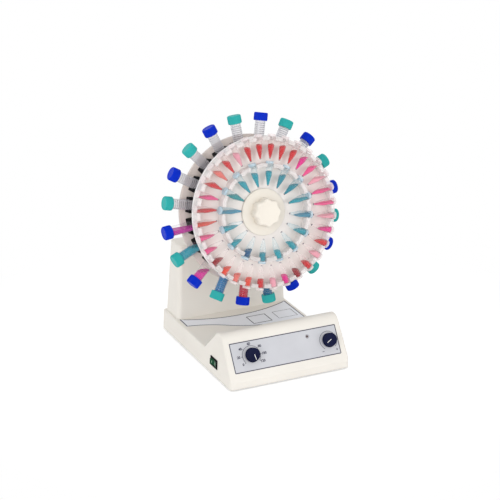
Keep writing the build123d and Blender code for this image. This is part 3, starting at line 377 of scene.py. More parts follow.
def clear_effect():
    """Clear plastic with graduation lines across it, a frosted patch and painted shade at the tip.

    The lines cross a third of the turn at an even pitch, and every fifth is longer.
    """
    pitch, first_line, last_line = 3.3, 28.0, 104.0
    line_middle, half_line, extra = 0.45, 0.16, 0.07
    patch_middle, half_patch = 0.7, 0.07
    group, source, result = effect(
        "graduated_clear",
        [
            ("Color", "NodeSocketColor", (0.9, 0.92, 0.93, 1)),
            ("Ink", "NodeSocketColor", (0.22, 0.19, 0.23, 1)),
            ("Marks", "NodeSocketFloat", 1.0),
            ("Tip", "NodeSocketFloat", 0.0),
        ],
        [("Color", "NodeSocketColor"), ("Mask", "NodeSocketFloat"), ("Height", "NodeSocketFloat")],
    )
    place = group.nodes.new("ShaderNodeUVMap")
    split = group.nodes.new("ShaderNodeSeparateXYZ")
    group.links.new(place.outputs["UV"], split.inputs[0])
    turn, along = split.outputs[0], split.outputs[1]
    marks, tip = source.outputs["Marks"], source.outputs["Tip"]

    def part_of(value, limit):
        return calculate(group, "LESS_THAN", calculate(group, "FRACT", value), limit)

    def within(middle, reach):
        distance = calculate(group, "ABSOLUTE", calculate(group, "SUBTRACT", turn, middle))
        return calculate(group, "LESS_THAN", distance, reach)

    steps = calculate(group, "MULTIPLY", along, 1 / pitch)
    fifth = part_of(calculate(group, "MULTIPLY", steps, 0.2), 0.2)
    reach = calculate(group, "MULTIPLY_ADD", fifth, extra, half_line)
    above = calculate(group, "GREATER_THAN", along, first_line)
    below = calculate(group, "LESS_THAN", along, last_line)
    zone = calculate(group, "MULTIPLY", calculate(group, "MULTIPLY", above, below), marks)
    lines = calculate(group, "MULTIPLY", part_of(steps, 0.4), within(line_middle, reach))
    lines = calculate(group, "MULTIPLY", lines, zone)
    patch = calculate(group, "MULTIPLY", within(patch_middle, half_patch), zone)
    # Painted shade: the first Tip millimetres from the end take the ink colour and turn opaque, for the
    # dark look of the clear tip.
    end = calculate(group, "LESS_THAN", along, tip)
    dark = calculate(group, "MAXIMUM", lines, end)
    mask = calculate(group, "MAXIMUM", calculate(group, "MULTIPLY", lines, 0.6), end)
    mask = calculate(group, "MAXIMUM", mask, calculate(group, "MULTIPLY", patch, 0.3))
    colour = blended(group, dark, source.outputs["Color"], source.outputs["Ink"])
    group.links.new(colour, result.inputs["Color"])
    group.links.new(mask, result.inputs["Mask"])
    group.links.new(noise(group, 160.0), result.inputs["Height"])
    return group


CLEAR = clear_effect()


def clear(name, colour, thin, thick, roughness, marks=1.0, tip=0.0, coat_weight=0.3):
    """See-through plastic: faint seen straight through, whiter where the wall is seen edge-on."""
    material = bpy.data.materials.new(name)
    material.use_nodes = True
    tree = material.node_tree
    shader = tree.nodes["Principled BSDF"]
    node = tree.nodes.new("ShaderNodeGroup")
    node.node_tree = CLEAR
    node.inputs["Color"].default_value = (*colour, 1)
    node.inputs["Marks"].default_value = marks
    node.inputs["Tip"].default_value = tip
    facing = tree.nodes.new("ShaderNodeLayerWeight")
    facing.inputs["Blend"].default_value = 0.35
    spread = tree.nodes.new("ShaderNodeMapRange")
    spread.inputs["To Min"].default_value = thin
    spread.inputs["To Max"].default_value = thick
    most = tree.nodes.new("ShaderNodeMath")
    most.operation = "MAXIMUM"
    relief = tree.nodes.new("ShaderNodeBump")
    relief.inputs["Strength"].default_value = 0.1
    relief.inputs["Distance"].default_value = 0.0003
    tree.links.new(facing.outputs["Facing"], spread.inputs["Value"])
    tree.links.new(spread.outputs["Result"], most.inputs[0])
    tree.links.new(node.outputs["Mask"], most.inputs[1])
    tree.links.new(most.outputs[0], shader.inputs["Alpha"])
    tree.links.new(node.outputs["Color"], shader.inputs["Base Color"])
    tree.links.new(node.outputs["Height"], relief.inputs["Height"])
    tree.links.new(relief.outputs["Normal"], shader.inputs["Normal"])
    shader.inputs["Roughness"].default_value = roughness
    shader.inputs["Coat Weight"].default_value = coat_weight
    return material


LARGE_TIP, LARGE_SHOULDER, LARGE_COLLAR, LARGE_RADIUS = 40.5, 62.5, 145.0, 8.5
wall = turned(
    [0, 1.4, 2.2, 2.6] + [LARGE_RADIUS] * 4,
    [LARGE_TIP, LARGE_TIP + 0.2, LARGE_TIP + 0.8, LARGE_TIP + 2.0, LARGE_SHOULDER, 90, 120, LARGE_COLLAR],
    36,
)
large_places = outward(LARGE_ANGLES, 0, SLIDES)
STAINED = slice(9, 15)
tube_clear = clear("tube_clear", (0.80, 0.775, 0.80), 0.4, 0.82, 0.14)
tube_stained = clear("tube_stained", (0.84, 0.83, 0.86), 0.02, 0.32, 0.14, marks=0.3, coat_weight=0.05)
plain_walls = repeated(wall, np.delete(large_places, STAINED, axis=0))
walls = piece("large_tube_walls", plain_walls, tube_clear, "rotor")
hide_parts("large_tubes")
stained = piece("stained_tube_walls", repeated(wall, large_places[STAINED]), tube_stained, "rotor")


# ------------------------------------------------------------------ liquids
# Nearly every tube holds a coloured sample.  Its surface is level, so it gathers at the tip in
# the tubes above the hub, along the lower wall beside it and in the cap end below.


def skinned(rings, around):
    """Corners, sizes and blank places of a skin over stacked loops of points, closed at both ends."""
    grid = np.arange(rings * around).reshape(rings, around)
    beside = np.roll(grid, -1, axis=1)
    quads = np.stack([grid[:-1], beside[:-1], beside[1:], grid[1:]], -1).reshape(-1, 4)
    corners = np.concatenate([quads.ravel(), grid[0, ::-1], grid[-1]])
    sizes = np.append(np.full(len(quads), 4), [around, around])
    return corners, sizes, np.zeros((len(corners), 2))


def pooled(radius_at, low, high, matrix, fill, rings=26, around=20):
    """Liquid in a tube drawn along z, cut off by a level plane at the right filling.

    In the ring at height s the liquid lies where its distance up the slope is under
    m(s) = (level - up_z s) / k, and the ring is the circle's arc below m, closed by the chord.
    The level is found by halving, and rings with less than a trace of liquid are left out.
    """
    trace = 0.02
    up = matrix[:3, :3].T @ np.array([0.0, 0.0, 1.0])
    k = np.hypot(up[0], up[1])
    slope, across = np.array([up[0], up[1]]) / k, np.array([-up[1], up[0]]) / k
    stations = np.linspace(low, high, 240)
    radii = radius_at(stations)

    def area(level):
        cut = np.clip((level - up[2] * stations) / k / radii, -1, 1)
        return radii**2 * (pi - np.arccos(cut) + cut * np.sqrt(1 - cut**2))

    bottom, top = -400.0, 400.0
    for _ in range(40):
        level = (bottom + top) / 2
        if area(level).sum() < fill * (pi * radii**2).sum():
            bottom = level
        else:
            top = level
    wet = stations[area(level) > trace]
    heights = np.linspace(wet.min(), wet.max(), rings)
    radii = radius_at(heights)
    cut = np.clip((level - up[2] * heights) / k / radii, -0.999, 0.999)
    start = np.arccos(cut)
    share = np.linspace(0, 1, around)
    angle = start[:, None] + (2 * pi - 2 * start[:, None]) * share
    x = radii[:, None] * np.cos(angle)
    y = radii[:, None] * np.sin(angle)
    points = x[..., None] * slope + y[..., None] * across
    points = np.concatenate([points, np.repeat(heights[:, None, None], around, 1)], -1)
    points = points.reshape(-1, 3) @ matrix[:3, :3].T + matrix[:3, 3]
    return points, *skinned(rings, around)


def liquid_material():
    """Coloured liquid: the colour comes from each sample, slightly deeper in places."""
    material = bpy.data.materials.new("liquid")
    material.use_nodes = True
    tree = material.node_tree
    shader = tree.nodes["Principled BSDF"]
    tint = tree.nodes.new("ShaderNodeVertexColor")
    tint.layer_name = "tint"
    node = tree.nodes.new("ShaderNodeGroup")
    node.node_tree = MOULDED
    node.inputs["Roughness"].default_value = 0.25
    deeper = tree.nodes.new("ShaderNodeMix")
    deeper.data_type = "RGBA"
    deeper.blend_type = "MULTIPLY"
    deeper.inputs[0].default_value = 0.35
    deeper.inputs[7].default_value = (0.6, 0.6, 0.65, 1)
    tree.links.new(tint.outputs["Color"], node.inputs["Color"])
    tree.links.new(tint.outputs["Color"], deeper.inputs[6])
    tree.links.new(deeper.outputs[2], node.inputs["Shade"])
    tree.links.new(node.outputs["Color"], shader.inputs["Base Color"])
    tree.links.new(node.outputs["Roughness"], shader.inputs["Roughness"])
    shader.inputs["Coat Weight"].default_value = 0.1
    shader.inputs["Specular IOR Level"].default_value = 0.25
    return material


liquid = liquid_material()


def contents(name, radius_at, low, high, matrices, samples):
    """One mesh of all the liquids in a set of tubes, each with its own colour."""
    shapes, tints = [], []
    for matrix, (fill, colour) in zip(matrices, samples):
        if fill:
            shapes.append(pooled(radius_at, low, high, matrix, fill))
            tints.append(np.tile([*colour, 1.0], (len(shapes[-1][0]), 1)))
    piece(name, joined(shapes), liquid, "rotor", 40.0, np.vstack(tints))


WATER, MAUVE, MAGENTA = (0.72, 0.74, 0.77), (0.62, 0.46, 0.66), (0.66, 0.0, 0.40)
PINK, BLOOD, SKY = (0.80, 0.01, 0.36), (0.56, 0.0, 0.03), (0.01, 0.36, 0.46)
ROYAL, NAVY, INDIGO = (0.0, 0.17, 0.40), (0.0, 0.05, 0.17), (0.0, 0.13, 0.26)
# filling and colour of each 15 ml tube, clockwise from the topmost one
LARGE_SAMPLES = [
    (0.25, WATER), (0.22, WATER), (0.25, WATER), (0.2, WATER), (0.3, NAVY), (0.3, SKY), (0.2, NAVY),
    (0.28, NAVY), (0.3, NAVY), (0.45, INDIGO), (0.5, BLOOD), (0.55, ROYAL), (0.2, PINK), (0.4, SKY),
    (0.36, MAGENTA), (0.0, WATER), (0.3, MAUVE), (0.22, WATER), (0.25, MAUVE), (0.22, WATER),
]


def large_bore(s):
    """Inside radius of a 15 ml tube at a distance from the rotor's axis."""
    narrow, wide, start = 1.6, 7.4, LARGE_TIP + 2.0
    return np.clip(narrow + (s - start) * (wide - narrow) / (LARGE_SHOULDER - start), narrow, wide)


contents(
    "large_tube_samples", large_bore, LARGE_TIP + 2.5, LARGE_COLLAR + 2.0, large_places, LARGE_SAMPLES
)


# ------------------------------------------------------------------ caps
# Screw caps in royal blue and teal polypropylene, by turns, with fine ribs for the fingers and a
# flat, slightly sunk top.


def ribbed(profile, ribs, depth, fine):
    """Turned profile whose radius ripples with the turn: r - depth (1 - cos n t) / 2.

    Each row of the profile is (radius, height, how much of the depth it takes).
    """
    profile = np.array(profile, float)
    sides = ribs * fine
    turn = np.arange(sides) * 2 * pi / sides
    radii = profile[:, :1] - depth * profile[:, 2:] * (1 - np.cos(ribs * turn)) / 2
    radii[profile[:, 0] == 0] = 0
    return turned(radii, profile[:, 1], sides)


cap = ribbed(
    [
        (0, 145.1, 0), (10.6, 145.1, 0), (11.0, 145.4, 0), (11.1, 146.3, 0), (11.3, 146.7, 1),
        (11.3, 156.6, 1), (10.9, 157.7, 0.6), (10.1, 158.4, 0), (9.3, 158.4, 0), (8.9, 157.9, 0),
        (0, 157.9, 0),
    ],
    40, 0.75, 4,
)
dull = {"Specular_IOR_Level": 0.1}
blue = finish("blue_plastic", MOULDED, (0.0, 0.03, 0.58), (0.0, 0.024, 0.50), 0.4, 0.06, **dull)
teal = finish("teal_plastic", MOULDED, (0.04, 0.46, 0.44), (0.03, 0.40, 0.39), 0.4, 0.06, **dull)
for colour, material, first in (("blue", blue, 0), ("teal", teal, 1)):
    caps = piece(f"{colour}_ribbed_caps", repeated(cap, large_places[first::2]), material, "rotor", 50.0)
    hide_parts(f"{colour}_caps")
coat(blue, "blue_caps")
coat(teal, "teal_caps")
coat(tube_clear, "large_tubes", "outer_micro_tubes", "inner_micro_tubes")


# ------------------------------------------------------------------ spring clips
# Twenty clips moulded in black nylon, one fixed by its foot for each 15 ml tube.  Two thick
# sprung jaws hold the tube and flare out at their lips, so that it snaps in from the front.


def rounded(points, radius, fine=4):
    """A closed outline with each corner cut by a short parabola of about the given radius."""
    points = np.asarray(points, float)
    before, after = np.roll(points, 1, axis=0) - points, np.roll(points, -1, axis=0) - points
    reach = np.minimum(np.hypot(*before.T), np.hypot(*after.T)) * 0.45
    reach = np.minimum(reach, radius)[:, None]
    start = points + before / np.hypot(*before.T)[:, None] * reach
    end = points + after / np.hypot(*after.T)[:, None] * reach
    t = np.linspace(0, 1, fine)[None, :, None]
    bend = start[:, None] * (1 - t) ** 2 + 2 * points[:, None] * t * (1 - t) + end[:, None] * t**2
    return bend.reshape(-1, 2)


def prism(outline, low, high, soft=0.5):
    """A closed outline carried along z from low to high, drawn in by soft at both ends."""
    outline = np.asarray(outline, float)
    centre = outline.mean(0)
    shrunk = centre + (outline - centre) * (1 - soft / np.hypot(*(outline - centre).T)[:, None])
    rings = [(shrunk, low), (outline, low + soft), (outline, high - soft), (shrunk, high)]
    count = len(outline)
    points = np.vstack([np.column_stack([ring, np.full(count, z)]) for ring, z in rings])
    return points, *skinned(len(rings), count)


CLIP_START, CLIP_END = 97.0, 113.0
seat, jaw, foot = 8.8, 12.4, 10.2
inner_face = [(-foot, 0.0), (-seat, 0.0), (-6.0, 5.6), (-2.0, seat), (3.4, 8.4)]
lip_and_back = [(7.6, 10.6), (6.4, 13.2), (3.0, jaw), (-foot, jaw)]
left_jaw = rounded(inner_face[2:] + lip_and_back + inner_face[:2], 1.6)[::-1]
right_jaw = left_jaw[::-1] * [1, -1]
clip_shape = joined([prism(side * [-1, 1], CLIP_START, CLIP_END) for side in (left_jaw, right_jaw)])
clips = piece("tube_clip_jaws", repeated(clip_shape, outward(LARGE_ANGLES)), black, "rotor")
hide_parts("tube_clips")


# ------------------------------------------------------------------ front disc and racks
# Clear acrylic disc with polished edges, clamped on the end of an ivory drum by the hand knob.
# A thin near-white ring round its rim is a painted highlight for the light its edge catches.
# Two clear moulded rings with open slots stand on it and hold the small tubes.

acrylic = clear("clear_acrylic", (0.95, 0.885, 0.845), 0.8, 0.98, 0.2, marks=0.0)
rack_plastic = clear("rack_plastic", (0.95, 0.90, 0.89), 0.42, 0.92, 0.16, marks=0.0)
# Painted highlight: a near-white, nearly opaque clear finish for the thin ring at the disc's rim, standing
# in for light caught by the edge.
painted_rim_highlight = clear("painted_rim_highlight_clear", (0.95, 0.93, 0.92), 0.85, 0.98, 0.1, marks=0.0)
FRONT_LOW, FRONT_HIGH = 38.4, 42.4
plate = washer(122.0, SHAFT_HOLE, FRONT_LOW, FRONT_HIGH, 0.4)
front = piece("front_disc_smooth", repeated(plate, [ROTOR]), acrylic, "rotor")
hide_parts("front_disc")
# The thin ring just outside the disc's rim that carries the painted highlight.
edge = washer(122.6, 122.05, FRONT_LOW + 0.1, FRONT_HIGH - 0.1, 0.2)
rim_highlight = piece("front_disc_painted_highlight", repeated(edge, [ROTOR]), painted_rim_highlight, "rotor")
coat(acrylic, "front_disc")
coat(rack_plastic, "outer_tube_rack", "inner_tube_rack")
drum_white = finish("drum_plastic", MOULDED, (0.80, 0.75, 0.70), (0.76, 0.71, 0.66), 0.5, 0.1, 0.8)
coat(drum_white, "centre_drum")


# ------------------------------------------------------------------ 1.5 ml tubes
# Small clear tubes with a hinged lid, pushed into the slots from outside with their tips to the
# hub.  Each has a lid with a rim, a hinge strap and a thumb tab.  The tubes lie at one height
# above the disc, and sizes along them are distances from their tips.

OUTER_ANGLES, OUTER_TIP = 1.0 + 360 / 32 * np.arange(32), 85.6
INNER_ANGLES, INNER_TIP = 12.3 + 360 / 16 * np.arange(16), 42.4
MICRO_AXIS = 53.1


def box_shape(low, high):
    """Block between two corners."""
    x, y, z = np.meshgrid(*zip(low, high), indexing="ij")
    points = np.stack([x.ravel(), y.ravel(), z.ravel()], -1)
    ends = [[0, 1, 3, 2], [4, 6, 7, 5]]
    sides = [[0, 4, 5, 1], [2, 3, 7, 6], [0, 2, 6, 4], [1, 5, 7, 3]]
    return points, np.array(ends + sides).ravel(), np.full(6, 4), np.zeros((24, 2))


MICRO_CONE, MICRO_SHOULDER, MICRO_TOP = 1.6, 17.8, 36.5


def micro_wall(start):
    """Wall of a 1.5 ml tube: rounded tip, cone and barrel up to its collar."""
    radii = [0, 1.0, 1.6, 1.8, 5.1, 5.3, 5.3, 6.1, 6.1, 5.3]
    heights = [0, 0.2, 0.7, MICRO_CONE, MICRO_SHOULDER, 19, 35.2, 35.3, 36.4, MICRO_TOP]
    return turned(radii, start + np.array(heights), 24)


def micro_lid(start):
    """Lid: a rimmed disc, its hinge strap at the back and a thumb tab in front."""
    low = start + MICRO_TOP
    heights = low + np.array([0, 0, 0.4, 3.0, 3.6, 3.7, 3.0, 3.0])
    disc = turned([0, 6.2, 6.4, 6.4, 6.1, 5.2, 4.9, 0], heights, 24)
    strap = box_shape((5.6, -2.2, low - 1.2), (6.4, 2.2, low + 2.0))
    tab = box_shape((-6.45, -2.0, low + 1.2), (-5.6, 2.0, low + 2.6))
    return joined([disc, strap, tab])


def micro_bore(start):
    """Inside radius of a 1.5 ml tube whose tip is at a distance from the rotor's axis."""
    narrow, at_shoulder, wide = 1.2, 4.8, 4.9
    growth = (at_shoulder - narrow) / (MICRO_SHOULDER - MICRO_CONE)
    return lambda s: np.clip(narrow + (s - start - MICRO_CONE) * growth, narrow, wide)


# The small tubes' walls carry 2.2 mm of painted shade at the tip, where the clear end looks dark.
micro_rosy = clear("micro_rosy", (0.95, 0.80, 0.80), 0.03, 0.42, 0.14, 0.0, 2.2, 0.05)
micro_bluish = clear("micro_bluish", (0.50, 0.78, 0.87), 0.08, 0.45, 0.14, 0.0, 2.2, 0.05)
lid_rosy = clear("lid_rosy", (0.95, 0.86, 0.86), 0.35, 0.85, 0.2, 0.0)
lid_bluish = clear("lid_bluish", (0.60, 0.78, 0.88), 0.4, 0.85, 0.2, 0.0)
# red, orange, salmon, pink, light pink, magenta, dark red; teal, deep teal, green, azure, navy
DYES = {
    "r": (0.60, 0.006, 0.012), "o": (0.74, 0.05, 0.02), "s": (0.74, 0.16, 0.13),
    "p": (0.80, 0.07, 0.26), "l": (0.82, 0.36, 0.44), "m": (0.70, 0.01, 0.24),
    "d": (0.30, 0.0, 0.01), "t": (0.0, 0.29, 0.36), "e": (0.0, 0.21, 0.28),
    "g": (0.01, 0.25, 0.25), "a": (0.04, 0.23, 0.36), "n": (0.0, 0.05, 0.17),
}
for name, start, angles, wall_material, lid_material in (
    ("outer", OUTER_TIP, OUTER_ANGLES, micro_rosy, lid_rosy),
    ("inner", INNER_TIP, INNER_ANGLES, micro_bluish, lid_bluish),
):
    places = outward(angles, MICRO_AXIS)
    walls = piece(f"{name}_tube_walls", repeated(micro_wall(start), places), wall_material, "rotor")
    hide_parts(f"{name}_micro_tubes")
    lids = piece(f"{name}_tube_lids", repeated(micro_lid(start), places), lid_material, "rotor")
for name, start, angles, fill, dyes in (
    ("outer", OUTER_TIP, OUTER_ANGLES, 0.52, "pplpmrrrrrlrsrproppdosorlmdrlrml"),
    ("inner", INNER_TIP, INNER_ANGLES, 0.5, "teetttgattnettta"),
):
    places, samples = outward(angles, MICRO_AXIS), [(fill, DYES[dye]) for dye in dyes]
    low, high = start + MICRO_CONE, start + MICRO_TOP - 0.9
    contents(f"{name}_tube_samples", micro_bore(start), low, high, places, samples)


# ------------------------------------------------------------------ hub plate and hand knob
# Ivory washer plate, and the lobed hand knob that clamps the clear disc.  The knob is moulded
# with eight soft lobes, a rounded rim and a shallow dish in its face.

ivory = finish("hub_plastic", MOULDED, (0.83, 0.775, 0.69), (0.80, 0.745, 0.66), 0.5, 0.1, 0.8)
hub_ring = washer(38.0, SHAFT_HOLE, FRONT_HIGH, 45.9, 1.0)
hub = piece("hub_plate_smooth", repeated(hub_ring, [ROTOR]), ivory, "rotor")
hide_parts("hub_plate")
coat(ivory, "hub_plate", "hub_knob")
LOBES, LOBE_DEPTH = 8, 2.9
lobed = ribbed(
    [
        (0, 46.3, 0), (22.0, 46.3, 0.8), (23.4, 47.0, 1), (23.9, 48.6, 1), (23.9, 60.0, 1),
        (23.4, 62.4, 1), (22.2, 64.2, 0.9), (20.4, 65.0, 0.7), (18.0, 64.8, 0.4), (14.0, 63.9, 0.1),
        (7.0, 63.3, 0), (0, 63.2, 0),
    ],
    LOBES, LOBE_DEPTH, 16,
)
knob = piece("hub_knob_smooth", repeated(lobed, [ROTOR]), ivory, "hub_knob")
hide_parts("hub_knob")


# ------------------------------------------------------------------ panel film and its printing
# Pale lavender-grey film stuck on the console, printed in navy: a keyline, the two dials with
# plain figures, and a ring round the lamp.  The panel's own frame has y up the sloping face.

LEAN, FACE_Y, FACE_Z, FILM_START = radians(32.0), -140, 15, 13.9
PANEL = np.array(
    [
        [1, 0, 0, 0],
        [0, sin(LEAN), -cos(LEAN), FACE_Y + FILM_START * sin(LEAN)],
        [0, cos(LEAN), sin(LEAN), FACE_Z + FILM_START * cos(LEAN)],
        [0, 0, 0, 1],
    ]
)
DIAL_Y, TIMER_X, SPEED_X = 24.9, -61.3, 77.2
LAMP = (41.9, 37.6)


def ribbon(line, width, closed=False):
    """Flat printed line of a given width along a path of (x, y) points."""
    line = np.asarray(line, float)
    if closed:
        before, after = np.roll(line, 1, axis=0), np.roll(line, -1, axis=0)
    else:
        before = np.vstack([line[:1], line[:-1]])
        after = np.vstack([line[1:], line[-1:]])
    along = after - before
    along /= np.hypot(along[:, 0], along[:, 1])[:, None]
    side = np.stack([-along[:, 1], along[:, 0]], -1) * width / 2
    points = np.zeros((len(line), 2, 3))
    points[:, 0, :2] = line + side
    points[:, 1, :2] = line - side
    grid = np.arange(2 * len(line)).reshape(-1, 2)
    if closed:
        grid = np.vstack([grid, grid[:1]])
    quads = np.stack([grid[:-1, 0], grid[:-1, 1], grid[1:, 1], grid[1:, 0]], -1)
    return points.reshape(-1, 3), quads.ravel(), np.full(len(quads), 4), np.zeros((quads.size, 2))


def arc(x, y, radius, start, end, count=48):
    """Points of an arc about (x, y), in degrees."""
    turn = np.radians(np.linspace(start, end, count))
    return np.stack([x + radius * np.cos(turn), y + radius * np.sin(turn)], -1)


def lettering(text, height, x, y):
    """Flat figures, centred on a point."""
    curve = bpy.data.curves.new("figure", "FONT")
    curve.body = text
    curve.size = height
    curve.offset = height * 0.04
    curve.align_x = "CENTER"
    curve.align_y = "CENTER"
    curve.resolution_u = 3
    holder = bpy.data.objects.new("figure", curve)
    bpy.context.scene.collection.objects.link(holder)
    bpy.context.view_layer.update()
    graph = bpy.context.evaluated_depsgraph_get()
    flat = bpy.data.meshes.new_from_object(holder.evaluated_get(graph))
    points = np.zeros(len(flat.vertices) * 3)
    flat.vertices.foreach_get("co", points)
    corners = np.zeros(len(flat.loops), int)
    flat.loops.foreach_get("vertex_index", corners)
    sizes = np.zeros(len(flat.polygons), int)
    flat.polygons.foreach_get("loop_total", sizes)
    bpy.data.objects.remove(holder)
    bpy.data.meshes.remove(flat)
    points = points.reshape(-1, 3) * [1, 1, 0] + [x, y, 0]
    return points, corners, sizes, np.zeros((len(corners), 2))


def raised(matrix, height):
    """A plane's matrix moved out along its normal."""
    lift = np.eye(4)
    lift[2, 3] = height
    return matrix @ lift


def rounded_frame(left, low, right, high, radius):
    """Closed path round a rectangle with round corners."""
    corners = [(right, high, 0), (left, high, 90), (left, low, 180), (right, low, 270)]
    return np.vstack(
        [
            arc(x - radius * (1, -1)[x == left], y - radius * (1, -1)[y == low], radius, a, a + 90, 6)
            for x, y, a in corners
        ]
    )


film_finish = finish("panel_film", COATED, (0.575, 0.58, 0.615), (0.545, 0.55, 0.585), 0.45, 0.15)
ink = finish("navy_print", COATED, (0.008, 0.009, 0.035), (0.014, 0.015, 0.05), 0.5, 0.05)
coat(film_finish, "front_panel_film")
ARC_RADIUS, FIGURE_RADIUS, FIGURE_HEIGHT = 15.6, 22.5, 5.6
SCALE_LINE, SIGN_LINE, SIGN_Y, PRINT_HEIGHT = 0.7, 0.9, 8.2, 0.43
timer_marks = ((0, 220.7), (20, 180), (40, 138.7), (60, 92), (80, 40), (100, 0), (120, -38.4))
prints = [ribbon(rounded_frame(-94.7, 0.8, 94.7, 48.4, 0.8), 1.4, True)]
prints.append(ribbon(arc(TIMER_X, DIAL_Y, ARC_RADIUS, 220.7, -38.4), SCALE_LINE))
for value, angle in timer_marks:
    turn = radians(angle)
    reach = np.array([[ARC_RADIUS], [ARC_RADIUS + 2.4]])
    prints.append(ribbon([TIMER_X, DIAL_Y] + reach * [cos(turn), sin(turn)], SCALE_LINE))
    aside, above = FIGURE_RADIUS * cos(turn), FIGURE_RADIUS * sin(turn) * 0.85
    prints.append(lettering(str(value), FIGURE_HEIGHT, TIMER_X + aside, DIAL_Y + above))
prints.append(ribbon(arc(SPEED_X, DIAL_Y, ARC_RADIUS - 0.4, 235, -50), SCALE_LINE))
minus, plus, half = SPEED_X - 12.8, SPEED_X + 12.2, 1.8
for x in (minus, plus):
    prints.append(ribbon([(x - half, SIGN_Y), (x + half, SIGN_Y)], SIGN_LINE))
prints.append(ribbon([(plus, SIGN_Y - half), (plus, SIGN_Y + half)], SIGN_LINE))
prints.append(ribbon(arc(*LAMP, 3.0, 0, 345, 24), 0.4, True))
flat_prints = repeated(joined(prints), [raised(PANEL, PRINT_HEIGHT)])
printing = piece("panel_printing", flat_prints, ink, "base")


# ------------------------------------------------------------------ dial knobs
# Navy knobs pushed onto their spindles, with a ribbed grip, a plain skirt and, on the top, a
# line filled with white paint that shows the setting.

navy = finish("navy_plastic", MOULDED, (0.003, 0.005, 0.03), (0.005, 0.008, 0.04), 0.55, 0.15, **dull)
white = finish("white_paint", COATED, (0.82, 0.82, 0.80), (0.78, 0.78, 0.76), 0.5, 0.1)
grip = ribbed(
    [
        (0, 3.3, 0), (11.6, 3.3, 0), (11.9, 3.6, 0), (11.9, 4.9, 0), (11.5, 5.3, 0.4),
        (11.4, 5.8, 1), (10.9, 12.0, 1), (10.5, 12.9, 0.6), (9.8, 13.3, 0), (8.9, 13.3, 0),
        (8.4, 13.0, 0), (0, 13.0, 0),
    ],
    24, 0.8, 6,
)
mark = box_shape((0.4, -0.45, 12.9), (9.6, 0.45, 13.35))
for name, x, angle in (("timer", TIMER_X, -81.0), ("speed", SPEED_X, 209.0)):
    place = PANEL @ np.array([[1, 0, 0, x], [0, 1, 0, DIAL_Y], [0, 0, 1, 0], [0, 0, 0, 1]])
    made = piece(f"{name}_knob_grip", repeated(grip, [place]), navy, f"{name}_knob")
    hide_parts(f"{name}_knob")
    c, s = cos(radians(angle)), sin(radians(angle))
    spin = np.array([[c, -s, 0, 0], [s, c, 0, 0], [0, 0, 1, 0], [0, 0, 0, 1]])
    pointer = piece(f"{name}_knob_pointer", repeated(mark, [place @ spin]), white, f"{name}_knob")
coat(navy, "timer_knob", "speed_knob")


# ------------------------------------------------------------------ lamp and rocker switch
# A small red lamp lens, dark when off, and a green rocker in a black bezel with a ring and a
# bar as its off and on marks.  The off half is pressed in.

glossy = {"Coat_Weight": 0.6}
lens = finish("lamp_lens", COATED, (0.05, 0.004, 0.006), (0.07, 0.006, 0.008), 0.12, 0.05, 0.2, **glossy)
green = finish("green_rocker", MOULDED, (0.004, 0.06, 0.025), (0.004, 0.045, 0.018), 0.3, 0.05, 0.3, **dull)
mint = finish("rocker_paint", COATED, (0.42, 0.62, 0.46), (0.38, 0.58, 0.42), 0.5, 0.1)
coat(lens, "power_lamp")
coat(green, "power_rocker")


def about_y(angle, x=0.0, z=0.0):
    """Turn about the y axis, then a shift."""
    c, s = cos(angle), sin(angle)
    return np.array([[c, 0, s, x], [0, 1, 0, 0], [-s, 0, c, z], [0, 0, 0, 1]])


WALL_LEAN, SWITCH_X, SWITCH_Y, SWITCH_Z = radians(2.0), -106.21, -75.5, 25.5
SWITCH = np.array(
    [
        [0, sin(WALL_LEAN), -cos(WALL_LEAN), SWITCH_X],
        [-1, 0, 0, SWITCH_Y],
        [0, cos(WALL_LEAN), sin(WALL_LEAN), SWITCH_Z],
        [0, 0, 0, 1],
    ]
)
PRESSED, MARK_LIFT = radians(7.0), 0.06
VALLEY, CREST, HALF_LENGTH = 0.6, 3.0, 9.1
slope = atan2(CREST - VALLEY, HALF_LENGTH)
valley = SWITCH @ about_y(PRESSED) @ about_y(0, 0, VALLEY)
ring = ribbon(arc(0, 0, 1.7, 0, 345, 24), 0.6, True)
bar = ribbon([(0, -1.9), (0, 1.9)], 0.7)
off_side = valley @ about_y(-slope) @ about_y(0, 5.0, MARK_LIFT)
on_side = valley @ about_y(slope) @ about_y(0, -5.0, MARK_LIFT)
rocker_marks = joined([repeated(ring, [off_side]), repeated(bar, [on_side])])
painted_marks = piece("rocker_marks", rocker_marks, mint, "power_rocker")


# ------------------------------------------------------------------ deck label
# Printed film stuck on the deck behind the console, with a navy outline and two plain boxes.
# Its back edge dips in an arc and its front edge follows two arcs that meet where they bend.

label_film = finish("deck_film", COATED, (0.82, 0.84, 0.89), (0.79, 0.81, 0.86), 0.4, 0.15)
coat(label_film, "deck_label")
deck_low, deck_high = (np.array(corner) * 1000 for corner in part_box("deck_label"))
deck = np.eye(4)
LABEL_LIFT, OUTLINE_WIDTH, OUTLINE_INSET = 0.04, 2.0, 1.1
LABEL_DIP, LABEL_NOTCH, LABEL_NOTCH_X, LABEL_HOLLOW = 23.1, 32.0, 26.0, 0.17
deck[2, 3] = deck_high[2] + LABEL_LIFT


def through(first, middle, last, count=24):
    """Points of the circle's arc from one point to another by way of a third."""
    a, b, c = (complex(*point) for point in (first, middle, last))
    w = (c - a) / (b - a)
    centre = (b - a) * (w - abs(w) ** 2) / (2j * w.imag) + a
    start, by, end = (np.angle(point - centre) for point in (a, b, c))
    by, end = by - start, end - start
    if not 0 < by % (2 * pi) < end % (2 * pi):
        end = end % (2 * pi) - 2 * pi
    turn = start + np.linspace(0, end % (2 * pi) if end > 0 else end, count)
    radius = abs(a - centre)
    return np.stack([centre.real + radius * np.cos(turn), centre.imag + radius * np.sin(turn)], -1)


def inset(line, distance):
    """A closed path, run anticlockwise, moved inwards square to itself."""
    along = np.roll(line, -1, axis=0) - np.roll(line, 1, axis=0)
    along /= np.hypot(along[:, 0], along[:, 1])[:, None]
    return line + distance * np.stack([-along[:, 1], along[:, 0]], -1)


